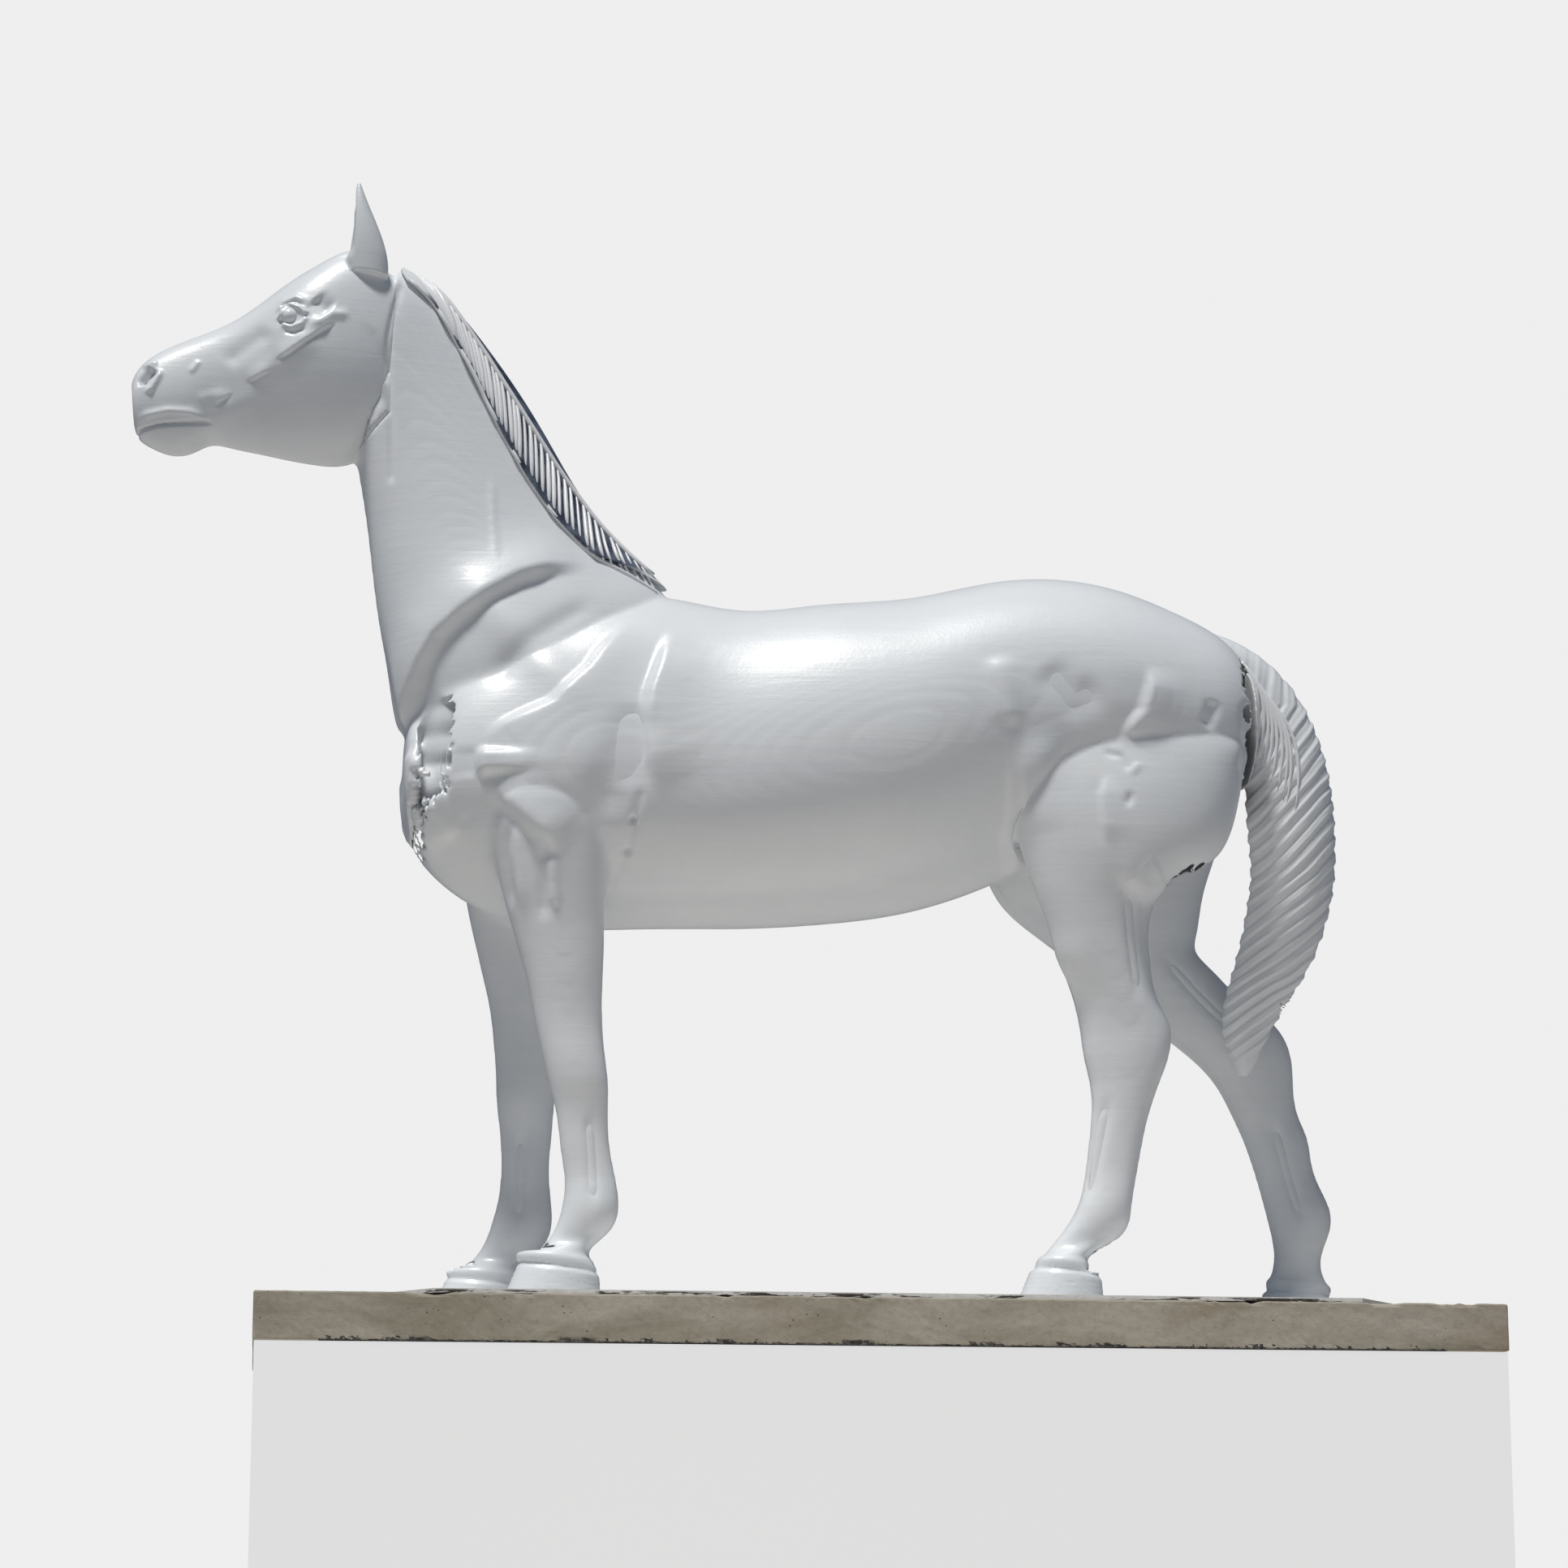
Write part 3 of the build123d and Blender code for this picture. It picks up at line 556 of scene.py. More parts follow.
def cut_from(mesh, name, planes, keep=None):
    """A closed moulding cut from the skin by planes (point, normal), on their positive sides."""
    bm = bmesh.new()
    bm.from_mesh(mesh)
    if keep:
        bmesh.ops.delete(bm, geom=[v for v in bm.verts if not keep(v.co)], context="VERTS")
    for point, normal in planes:
        geom = bm.verts[:] + bm.edges[:] + bm.faces[:]
        made = bmesh.ops.bisect_plane(bm, geom=geom, dist=1e-6, plane_co=point, plane_no=normal, clear_inner=True)
        rim = [e for e in made["geom_cut"] if isinstance(e, bmesh.types.BMEdge)]
        for edge in rim:
            edge.smooth = False
        bmesh.ops.holes_fill(bm, edges=rim, sides=0)
    cap_edges = [e for e in bm.edges if e.is_boundary]
    if cap_edges:
        bmesh.ops.holes_fill(bm, edges=cap_edges, sides=0)
    piece = mesh_from(bm, name)
    layer = piece.attributes.get("skin_normal")
    kept = np.empty(len(piece.vertices) * 3, np.float32)
    layer.data.foreach_get("vector", kept)
    kept = kept.reshape(-1, 3)
    kept /= np.maximum(np.linalg.norm(kept, axis=1), 1e-6)[:, None]
    corners = np.empty(len(piece.loops), int)
    piece.loops.foreach_get("vertex_index", corners)
    sides = np.array([p.loop_total for p in piece.polygons])
    starts = np.array([p.loop_start for p in piece.polygons])
    loops = kept[corners]
    for i in np.flatnonzero(sides > 6):
        loops[starts[i]:starts[i] + sides[i]] = piece.polygons[i].normal
    piece.attributes.remove(layer)
    piece.normals_split_custom_set(loops.tolist())
    return piece


def close_hooves(mesh, height):
    """Drops the rough rims under the hooves, so the inside comes away and the soles are left open."""
    bm = bmesh.new()
    bm.from_mesh(mesh)
    bmesh.ops.delete(bm, geom=[v for v in bm.verts if v.co.z < height + 0.004], context="VERTS")
    return mesh_from(bm, "opened")


def stand_on(mesh, height):
    bm = bmesh.new()
    bm.from_mesh(mesh)
    rim = [e for e in bm.edges if e.is_boundary]
    for vert in {v for e in rim for v in e.verts}:
        vert.co.z = height
    bmesh.ops.holes_fill(bm, edges=rim, sides=0)
    return mesh_from(bm, "stood")


def body_skin(form):
    """The whole outer skin of body, neck, legs and hooves, before it is modelled."""
    names = ("forehand", "barrel", "hindquarter", "neck", "head", "eye", "foreleg", "hindleg", "fore_hoof", "hind_hoof")
    nodes = [f"{side}_{name}" for side in ("left", "right") for name in names]
    tail_low, tail_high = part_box("tail")
    dock = Vector((tail_low[0] + 0.065, 0.0, tail_high[2] - 0.068))
    plugs = [(dock, 0.035)]
    for side in (LEFT, RIGHT):
        plugs += [(Vector((-0.825, side * 0.070, z)), 0.072) for z in (1.31, 1.25, 1.19, 1.13)]
    mesh = remeshed(clay_from(nodes, plugs), form.body_grain * (1))
    ground = PLATE_HIGH[2]
    mesh = outer_island(close_hooves(mesh, ground))
    return stand_on(mesh, ground + 0.0003)


def blend_weights(co):
    """Where the limbs and neck flow into the trunk, for smoothing away the seams."""
    x, y, z = co.T
    fore = smooth_step(0.76, 0.86, z) * smooth_step(1.12, 0.95, z) * smooth_step(-0.35, -0.45, x)
    hind = smooth_step(0.78, 0.88, z) * smooth_step(1.25, 1.0, z) * smooth_step(0.2, 0.3, x)
    neck = smooth_step(0.16, 0.03, np.abs((x + 0.72) * 0.72 + (z - 1.48) * -0.69))
    throat = smooth_step(0.07, 0.02, np.hypot(x + 0.965, (z - 1.80) * 0.8))
    joins = smooth_step(0.03, 0.005, np.abs(z - 0.167)) + smooth_step(0.03, 0.005, np.abs(z - 0.84))
    return np.clip(fore + hind + 0.8 * neck + throat + 0.35 * joins, 0, 1)


# ---- modelling strokes, as (x, z) lines seen from the left --------------------------------
SHOULDER_TOP = [
    (-0.56, 1.588), (-0.586, 1.578), (-0.650, 1.562), (-0.705, 1.540), (-0.760, 1.504), (-0.815, 1.462),
    (-0.864, 1.415), (-0.891, 1.362), (-0.907, 1.311), (-0.918, 1.248), (-0.910, 1.198), (-0.893, 1.148),
]
BREAST_EDGE = [(-0.910, 1.198), (-0.870, 1.120), (-0.842, 1.059), (-0.814, 1.004)]
BLADE_GROOVE = [(-0.539, 1.511), (-0.628, 1.451), (-0.683, 1.409), (-0.732, 1.357), (-0.764, 1.299)]
BLADE_CRACK = [
    (-0.481, 1.465), (-0.523, 1.423), (-0.550, 1.388), (-0.572, 1.353), (-0.599, 1.324), (-0.643, 1.277),
    (-0.693, 1.253), (-0.742, 1.229), (-0.769, 1.203), (-0.782, 1.183),
]
ARM_FRONT = [(-0.783, 1.181), (-0.785, 1.147), (-0.782, 1.114)]
ARM_LOW = [(-0.782, 1.103), (-0.746, 1.076), (-0.718, 1.048), (-0.690, 1.021), (-0.646, 0.978), (-0.613, 0.953)]
BARREL_EDGE = [
    (-0.397, 1.451), (-0.419, 1.404), (-0.438, 1.347), (-0.454, 1.301), (-0.461, 1.255),
    (-0.460, 1.210), (-0.453, 1.154), (-0.442, 1.109), (-0.428, 1.070),
]
GIRTH_CRACK = [(-0.466, 1.100), (-0.472, 1.066), (-0.479, 1.039), (-0.490, 0.980), (-0.503, 0.948), (-0.536, 0.886)]
ELBOW_VALLEY = [(-0.467, 1.280), (-0.483, 1.212), (-0.510, 1.132), (-0.532, 1.103), (-0.537, 1.019)]
FOREARM_FRONT = [
    (-0.781, 1.107), (-0.785, 1.045), (-0.782, 0.989), (-0.764, 0.934), (-0.742, 0.879), (-0.708, 0.780),
]
FLANK_FOLD = [
    (0.268, 1.233), (0.277, 1.182), (0.280, 1.130), (0.282, 1.066), (0.275, 1.022),
    (0.297, 0.971), (0.309, 0.933), (0.343, 0.839), (0.367, 0.776), (0.404, 0.676),
]
THIGH_CRACK = [(0.550, 1.378), (0.546, 1.329), (0.533, 1.283), (0.510, 1.257), (0.493, 1.224), (0.486, 1.205)]
THIGH_CREASE = [(0.457, 1.152), (0.446, 1.101), (0.449, 1.049), (0.461, 0.999)]
THIGH_LOW = [(0.468, 0.984), (0.499, 0.933), (0.543, 0.909), (0.594, 0.923), (0.634, 0.975)]
NECK_SEAM = [(-0.762, 1.777), (-0.758, 1.672), (-0.751, 1.574)]
HEAD_JOINT = [
    (-0.953, 2.186), (-0.957, 2.153), (-0.967, 2.106), (-0.975, 2.060), (-0.977, 2.013),
    (-0.971, 1.968), (-0.965, 1.876), (-0.964, 1.743),
]


def model_forehand(clay):
    both_sides(clay, "fold", SHOULDER_TOP[::-1], 0.019, 0.075, edge=0.016, fade=0.2)
    both_sides(clay, "swell", (-0.72, 1.44), (0.13, 0.045), 0.008, turn=-42)
    both_sides(clay, "fold", BREAST_EDGE[::-1], 0.012, 0.060, edge=0.016, fade=0.15)
    both_sides(clay, "swell", (-0.89, 1.08), (0.07, 0.09), 0.009)
    clay.settle(1)
    both_sides(clay, "ridge", BLADE_GROOVE, 0.022, -0.006)
    both_sides(clay, "swell", (-0.66, 1.35), (0.11, 0.04), 0.006, turn=-45)
    both_sides(clay, "fold", BLADE_CRACK, 0.011, 0.065, edge=0.013, crack=0.001, fade=0.3)
    both_sides(clay, "swell", (-0.65, 1.13), (0.13, 0.10), 0.016)
    both_sides(clay, "fold", ARM_FRONT, 0.018, 0.080, edge=0.014, fade=0.3)
    both_sides(clay, "fold", ARM_LOW, 0.015, 0.070, edge=0.018, fade=0.35)
    both_sides(clay, "ridge", ELBOW_VALLEY, 0.045, -0.012)
    clay.settle(1)
    both_sides(clay, "fold", BARREL_EDGE, 0.015, 0.090, edge=0.013, fade=0.3)
    both_sides(clay, "ridge", GIRTH_CRACK, 0.007, -0.004, fade=0.08)
    for hole in ((-0.481, 1.037), (-0.491, 0.979)):
        both_sides(clay, "swell", hole, (0.006, 0.006), -0.008)
    both_sides(clay, "ridge", NECK_SEAM, 0.006, 0.0025)
    both_sides(clay, "ridge", [(-0.728, 1.035), (-0.729, 0.963), (-0.714, 0.852)], 0.010, -0.007)
    both_sides(clay, "ridge", [(-0.711, 1.041), (-0.705, 0.963), (-0.692, 0.852)], 0.014, 0.006)
    both_sides(clay, "ridge", [(-0.667, 0.987), (-0.657, 0.909), (-0.654, 0.826)], 0.012, -0.007)
    both_sides(clay, "ridge", [(-0.644, 0.965), (-0.632, 0.854)], 0.012, 0.006)
    clay.settle(1)


def model_hindquarter(clay):
    both_sides(clay, "fold", FLANK_FOLD, 0.017, 0.070, edge=0.018, fade=0.22)
    both_sides(clay, "ridge", [(0.246, 1.392), (0.258, 1.321), (0.266, 1.231)], 0.030, 0.008)
    both_sides(clay, "ridge", [(0.335, 1.375), (0.398, 1.293), (0.463, 1.327)], 0.035, -0.008)
    both_sides(clay, "swell", (0.33, 1.17), (0.04, 0.05), 0.012, turn=-30)
    both_sides(clay, "swell", (0.31, 1.08), (0.04, 0.06), 0.009)
    clay.settle(1)
    both_sides(clay, "fold", THIGH_CRACK, 0.011, 0.055, edge=0.012, crack=0.002, fade=0.3)
    both_sides(clay, "ridge", [(0.454, 1.197), (0.492, 1.185), (0.508, 1.147)], 0.006, -0.004)
    both_sides(clay, "ridge", [(0.531, 1.173), (0.508, 1.147)], 0.006, 0.003)
    both_sides(clay, "ridge", [(0.509, 1.112), (0.500, 1.080)], 0.007, -0.005)
    both_sides(clay, "fold", THIGH_CREASE, 0.006, 0.040, edge=0.008, fade=0.3)
    both_sides(clay, "ridge", [(0.688, 1.315), (0.685, 1.288), (0.671, 1.252)], 0.014, -0.008)
    both_sides(clay, "ridge", [(0.772, 1.329), (0.773, 1.223), (0.762, 1.144)], 0.018, -0.010)
    both_sides(clay, "fold", THIGH_LOW, 0.009, 0.065, edge=0.022, fade=0.4)
    clay.settle(1)


def model_legs(clay):
    """Knees, hocks, tendons, fetlocks and coronets. The two sides stand differently."""
    grooves = (
        (LEFT, [(-0.560, 0.470), (-0.553, 0.380), (-0.548, 0.270)]),
        (RIGHT, [(-0.672, 0.470), (-0.672, 0.380), (-0.675, 0.270)]),
        (LEFT, [(0.505, 0.930), (0.515, 0.823), (0.533, 0.696)]),
        (RIGHT, [(0.640, 0.850), (0.715, 0.770), (0.800, 0.690)]),
        (LEFT, [(0.470, 0.520), (0.445, 0.400), (0.420, 0.290)]),
        (RIGHT, [(0.875, 0.520), (0.905, 0.400), (0.935, 0.290)]),
    )
    for side, line in grooves:
        for face in (LEFT, RIGHT):
            near, d, _, way = clay.along(line, 0.03)
            own = smooth_step(0.02, 0.05, clay.co[near, 1] * side)
            facing = smooth_step(0.2, 0.6, clay.nor[near, 1] * face)
            clay.push[near] -= 0.0055 * np.exp(-((d / 0.011) ** 2)) * clay.ends(way, 0.25) * own * facing
    clay.settle(1)


def model_hooves(clay):
    """A coronet roll with a groove under it, round every hoof."""
    for node in ("left_fore_hoof", "right_fore_hoof", "left_hind_hoof", "right_hind_hoof"):
        low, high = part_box(node)
        x, y, z = clay.co.T
        inside = (x > low[0] - 0.02) & (x < high[0] + 0.02) & (y > low[1] - 0.02) & (y < high[1] + 0.02) & (z < 0.25)
        level = high[2] - 0.002 - (x - (low[0] + high[0]) / 2) * 0.11
        upright = smooth_step(0.95, 0.7, np.abs(clay.nor[:, 2]))
        roll = 0.0045 * np.exp(-(((z - level - 0.010) / 0.009) ** 2))
        groove = -0.0050 * np.exp(-(((z - level + 0.006) / 0.0055) ** 2))
        rings = 0.0007 * np.sin((z - level) * 620.0) * smooth_step(0.0, -0.02, z - level)
        clay.push += inside * upright * (roll + groove + rings)
    clay.settle(0)


# ---- head ---------------------------------------------------------------------------------
def head_skin(form):
    post = Vector((-0.985, 0.0, 2.035))
    nodes = ("left_head", "right_head", "left_eye", "right_eye", "left_ear", "right_ear")
    return outer_island(remeshed(clay_from(nodes, [(post, 0.07)]), form.head_grain * (1)))


def model_head(clay):
    both_sides(clay, "fold", [(-1.044, 2.091), (-1.004, 2.065), (-0.982, 2.020), (-0.980, 1.950)][::-1], -0.002, 0.03, edge=0.012, fade=0.4)
    both_sides(clay, "swell", (-1.05, 1.97), (0.10, 0.11), 0.006)
    both_sides(clay, "ridge", [(-1.110, 2.052), (-1.150, 2.022), (-1.210, 1.985), (-1.262, 1.950)], 0.022, 0.005)
    both_sides(clay, "swell", (-1.29, 1.905), (0.06, 0.025), 0.004, turn=25)
    both_sides(clay, "ridge", [(-1.128, 2.130), (-1.110, 2.112), (-1.093, 2.099)], 0.018, -0.010)
    both_sides(clay, "ridge", [(-1.21, 2.065), (-1.26, 2.03), (-1.31, 1.99)], 0.020, -0.005)
    clay.settle(1)
    crest = [(-1.078, 2.078), (-1.118, 2.050), (-1.148, 2.028), (-1.178, 2.006), (-1.206, 1.992)]
    both_sides(clay, "fold", crest[::-1], 0.005, 0.030, edge=0.004, crack=0.004, fade=0.2)
    both_sides(clay, "fold", [(-1.203, 1.978), (-1.238, 1.961), (-1.264, 1.951)][::-1], 0.003, 0.020, edge=0.004, crack=0.002, fade=0.4)
    both_sides(clay, "fold", [(-1.281, 1.933), (-1.307, 1.918), (-1.328, 1.903)][::-1], 0.003, 0.018, edge=0.004, crack=0.002, fade=0.4)
    both_sides(clay, "ridge", [(-1.140, 2.065), (-1.110, 2.080), (-1.088, 2.095), (-1.049, 2.097)], 0.010, 0.005)
    both_sides(clay, "ridge", [(-1.359, 1.915), (-1.333, 1.927), (-1.298, 1.935)], 0.010, 0.002)
    both_sides(clay, "ridge", [(-1.374, 1.972), (-1.353, 2.003)], 0.006, 0.003)
    clay.settle(1)


def model_eyes(clay):
    both_sides(clay, "swell", (-1.176, 2.089), (0.026, 0.020), -0.004)
    upper = [(-1.197, 2.080), (-1.190, 2.106), (-1.173, 2.114), (-1.155, 2.106), (-1.140, 2.090)]
    lower = [(-1.194, 2.074), (-1.172, 2.064), (-1.150, 2.072), (-1.140, 2.088)]
    both_sides(clay, "ridge", upper, 0.0055, 0.0075, fade=0.08)
    both_sides(clay, "ridge", lower, 0.0050, 0.0055, fade=0.12)
    both_sides(clay, "ridge", [(-1.203, 2.095), (-1.187, 2.122), (-1.163, 2.132), (-1.136, 2.117)], 0.007, 0.004)
    both_sides(clay, "ridge", [(-1.201, 2.086), (-1.190, 2.114), (-1.167, 2.124), (-1.142, 2.108)], 0.0035, -0.004)
    both_sides(clay, "ridge", [(-1.190, 2.058), (-1.165, 2.052), (-1.140, 2.062)], 0.005, -0.004)
    clay.settle(0)


def model_muzzle(clay):
    nostril = [(-1.447, 1.984), (-1.456, 1.972), (-1.466, 1.957), (-1.463, 1.946)]
    both_sides(clay, "ridge", nostril, 0.009, -0.016, fade=0.1)
    both_sides(clay, "ridge", [(-1.430, 1.984), (-1.437, 1.963), (-1.450, 1.938), (-1.466, 1.928)], 0.006, 0.006)
    both_sides(clay, "ridge", [(-1.436, 1.993), (-1.452, 1.999), (-1.470, 1.985)], 0.006, 0.004)
    both_sides(clay, "ridge", [(-1.482, 1.872), (-1.458, 1.884), (-1.415, 1.893), (-1.371, 1.892), (-1.335, 1.880)], 0.008, 0.005)
    clay.settle(0)
    x, y, z = clay.co.T
    level = np.interp(x, [-1.49, -1.479, -1.436, -1.393, -1.332], [1.851, 1.854, 1.865, 1.870, 1.874])
    slit = np.exp(-(((z - level) / 0.0035) ** 2)) * smooth_step(-1.322, -1.345, x)
    clay.push -= 0.009 * slit * smooth_step(0.95, 0.6, np.abs(clay.nor[:, 2]))
    bridge = smooth_step(-1.40, -1.45, x) * smooth_step(0.03, 0.0, np.abs(y)) * smooth_step(1.93, 1.90, z)
    clay.push -= 0.003 * bridge
    clay.settle(0)


# ---- hair ---------------------------------------------------------------------------------
def strands_mesh(name, strands):
    """Round tapered strands. Each is a list of (point, radius)."""
    curve = bpy.data.curves.new(name, "CURVE")
    curve.dimensions = "3D"
    curve.bevel_depth = 1.0
    curve.bevel_resolution = 2
    curve.resolution_u = 4
    curve.use_fill_caps = True
    for strand in strands:
        spline = curve.splines.new("NURBS")
        spline.points.add(len(strand) - 1)
        for knot, (place, radius) in zip(spline.points, strand):
            knot.co = (*place, 1.0)
            knot.radius = radius
        spline.order_u = 4
        spline.use_endpoint_u = True
    holder = bpy.data.objects.new("holder", curve)
    bpy.context.scene.collection.objects.link(holder)
    bpy.context.view_layer.update()
    mesh = bpy.data.meshes.new_from_object(holder.evaluated_get(bpy.context.evaluated_depsgraph_get()))
    bpy.data.objects.remove(holder)
    bm = bmesh.new()
    bm.from_mesh(mesh)
    bmesh.ops.remove_doubles(bm, verts=bm.verts, dist=1e-6)
    bmesh.ops.recalc_face_normals(bm, faces=bm.faces)
    return mesh_from(bm, name)


def surface_of(*nodes):
    """A tree for finding points on CAD solids."""
    bm = bmesh.new()
    for node in nodes:
        bm.from_mesh(NODES[node].data)
    tree = BVHTree.FromBMesh(bm)
    bm.free()
    return tree


def on_side(tree, side, x, z):
    """The outermost point of the surface at (x, z), seen from one side."""
    hit, normal, _, _ = tree.ray_cast(Vector((x, side * 1.0, z)), Vector((0, -side, 0)))
    return hit, normal


CREST_LINE = [(-0.985, 2.262), (-0.93, 2.243), (-0.86, 2.175), (-0.78, 2.06), (-0.70, 1.935), (-0.62, 1.81),
              (-0.54, 1.70), (-0.46, 1.615), (-0.396, 1.565)]
MANE_EDGE = [(-0.935, 2.195), (-0.885, 2.150), (-0.842, 2.075), (-0.796, 1.985), (-0.752, 1.890),
             (-0.698, 1.790), (-0.632, 1.690), (-0.560, 1.612), (-0.470, 1.572), (-0.420, 1.545)]


def along_line(line, t):
    """The point at part t of a line's length."""
    pts = np.array(line, float)
    steps = np.hypot(*(pts[1:] - pts[:-1]).T)
    way = np.concatenate([[0], np.cumsum(steps)]) / steps.sum()
    return np.array([np.interp(t, way, pts[:, k]) for k in range(2)])


def mane_strands(count, seed=3):
    """S-shaped locks that leave the crest and sweep down and back across the band."""
    tree = surface_of("mane", "left_neck", "right_neck", "left_forehand", "right_forehand")
    rng = np.random.default_rng(seed)
    shape = ((0.0, 0.02, 0.30), (0.014, 0.14, 0.75), (0.028, 0.34, 1.0), (0.048, 0.60, 1.0),
             (0.066, 0.84, 0.85), (0.082, 1.03, 0.25))
    strands = []
    for side in (LEFT, RIGHT):
        for i in range(count):
            start = 0.035 + 0.885 * i / (count - 1) + rng.normal(0, 0.0022)
            width = (0.0045 + rng.normal(0, 0.0006)) * (0.6 + 0.4 * min(1.0, (count - i) / 9.0, (i + 3) / 6.0))
            strand = []
            for shift, across, size in shape:
                t = min(start + shift / 0.98, 1.0)
                top, low = along_line(CREST_LINE, t), along_line(MANE_EDGE, t)
                x, z = top + (low - top) * (0.05 + 0.95 * across)
                hit, normal = on_side(tree, side, x, z)
                if hit is None:
                    x, z = top + (low - top) * (0.16 + 0.84 * across)
                    hit, normal = on_side(tree, side, x, z)
                if hit is None:
                    continue
                strand.append((hit + normal * width * size * 0.35, width * size))
            if len(strand) > 3:
                strands.append(strand)
        for line, size, lean in ((CREST_LINE, 0.0060, 0.08), (MANE_EDGE, 0.0042, -0.02)):
            border = []
            for k in range(26):
                x, z = along_line(line, k / 25)
                low_x, low_z = along_line(MANE_EDGE, k / 25)
                hit, normal = on_side(tree, side, x + (low_x - x) * lean, z + (low_z - z) * lean)
                if hit is not None:
                    border.append((hit + normal * size * 0.2, size * (0.4 if k in (0, 25) else 1.0)))
            strands.append(border)
    return strands


TAIL_FAN_TOP = [(0.700, 1.498), (0.752, 1.478), (0.800, 1.432), (0.838, 1.372)]
TAIL_FAN_LOW = [(0.770, 1.375), (0.800, 1.290), (0.836, 1.215), (0.872, 1.140), (0.896, 1.120)]


def tail_strands(count, seed=5):
    """The fine locks that spread over the root of the tail."""
    tree = surface_of("tail")
    rng = np.random.default_rng(seed)
    strands = []
    for side in (LEFT, RIGHT):
        for i in range(count):
            t = i / (count - 1)
            top = along_line(TAIL_FAN_TOP, 0.25 + 0.75 * t)
            low = along_line(TAIL_FAN_LOW, t) + rng.normal(0, 0.003, 2)
            bow = np.array([0.030, 0.016]) * (0.5 + 0.6 * t)
            strand = []
            for k, size in zip((0.0, 0.2, 0.4, 0.6, 0.8, 1.0), (0.25, 0.8, 1.0, 1.0, 0.8, 0.2)):
                x, z = top + (low - top) * k + bow * 4 * k * (1 - k)
                hit, normal = on_side(tree, side, x, z)
                if hit is None:
                    continue
                width = 0.0042 * size
                strand.append((hit + normal * width * 0.4, width))
            if len(strand) > 3:
                strands.append(strand)
    return strands


def model_tail(clay, locks):
    """Flowing grooves that run down and forward across the tail."""
    x, y, z = clay.co.T
    centre = np.interp(z, [0.59, 0.8, 1.0, 1.2, 1.35, 1.5], [0.79, 0.87, 0.905, 0.895, 0.85, 0.72])
    across = x - centre
    wander = np.array([noise.noise(Vector((a * 5, b * 5, c * 5))) for a, b, c in clay.co])
    fine = np.array([noise.noise(Vector((a * 22, b * 22, c * 9 + 7))) for a, b, c in clay.co])
    phase = (z * 1.0 - across * 0.95 + 0.020 * wander) * locks * 2 * math.pi * 0.62
    depth = smooth_step(1.50, 1.38, z) * smooth_step(0.6, 0.68, z)
    clay.push += (0.0017 * np.sin(phase) + 0.0007 * np.sin(phase * 2.3 + 2 * fine) + 0.001 * fine) * depth
    clay.settle(0)


def model_ears(clay):
    """Presses the hollow into each ear, open to the front and a little outwards."""
    for node, side in zip(pair("ear"), (LEFT, RIGHT)):
        low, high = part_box(node)
        x, y, z = clay.co.T
        up = (z - low[2] - 0.03) / (high[2] - low[2] - 0.03)
        centre = (low[1] + high[1]) / 2 + side * 0.004 * (1 - up)
        half = 0.026 * np.sqrt(np.clip(1 - up ** 2, 0.02, 1)) * (0.75 + np.clip(up * (1 - up), 0, 1))
        front = -clay.nor[:, 0] * 0.92 + clay.nor[:, 1] * side * 0.38
        bowl = np.clip(1 - ((y - centre) / half) ** 2, 0, 1) * smooth_step(0.10, 0.55, front)
        clay.push -= 0.014 * bowl * smooth_step(0.02, 0.22, up) * smooth_step(0.97, 0.7, up)
    clay.settle(0)


# ---- base ---------------------------------------------------------------------------------
def grown_noise(vector, scale, seed):
    return noise.fractal(Vector(vector) * scale + Vector((seed, 0, 0)), 0.6, 2.1, 4)


def slab_mesh():
    """The concrete slab, with a worn and chipped arris and slightly uneven faces."""
    low, high = SLAB_LOW, SLAB_HIGH
    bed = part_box("mortar_bed")[1][2] + 0.0005
    bm = bmesh.new()
    size = [high[k] - low[k] for k in range(3)]
    place = Matrix.Translation([(high[k] + low[k]) / 2 for k in range(3)]) @ Matrix.Diagonal((*size, 1.0))
    bmesh.ops.create_cube(bm, size=1.0, matrix=place)
    bmesh.ops.bevel(
        bm, geom=bm.edges[:], offset=0.0035, offset_type="OFFSET", segments=2, profile=0.5,
        affect="EDGES", material=-1,
    )
    cuts = [(0, low[0] + size[0] * k / 200) for k in range(1, 200)] + [(1, low[1] + size[1] * k / 24) for k in range(1, 24)]
    cuts += [(2, low[2] + size[2] * k / 9) for k in range(1, 9)]
    for axis, at in cuts:
        point, normal = Vector(), Vector()
        point[axis], normal[axis] = at, 1.0
        bmesh.ops.bisect_plane(bm, geom=bm.verts[:] + bm.edges[:] + bm.faces[:], dist=1e-6, plane_co=point, plane_no=normal)
    middle = Vector([(high[k] + low[k]) / 2 for k in range(3)])
    for vert in bm.verts:
        co = vert.co
        rough = abs(grown_noise(co, 9.0, 3.0)) * 0.0014 + abs(grown_noise(co, 45.0, 11.0)) * 0.0008
        near_top = max(0.0, 1 - (high[2] - co.z) / 0.006)
        near_low = max(0.0, 1 - (co.z - low[2]) / 0.010)
        side = min(high[1] - abs(co.y), high[0] - abs(co.x))
        if side < 0.006:
            chip = max(0.0, grown_noise(co, 13.0, 31.0) - 0.18)
            rough += (near_top * 0.012 + near_low * 0.010) * min(chip, 0.6)
        inward = Vector((middle.x - co.x, middle.y - co.y, 0)).normalized() if side < 0.01 else Vector()
        if side < 0.01 and high[1] - abs(co.y) < 0.01:
            inward = Vector((0, -math.copysign(1, co.y), 0))
        elif side < 0.01:
            inward = Vector((-math.copysign(1, co.x), 0, 0))
        vert.co += inward * rough
        if near_top > 0 and side < 0.006:
            vert.co.z -= rough * 0.7
    return mesh_from(bm, "slab", smooth=False)


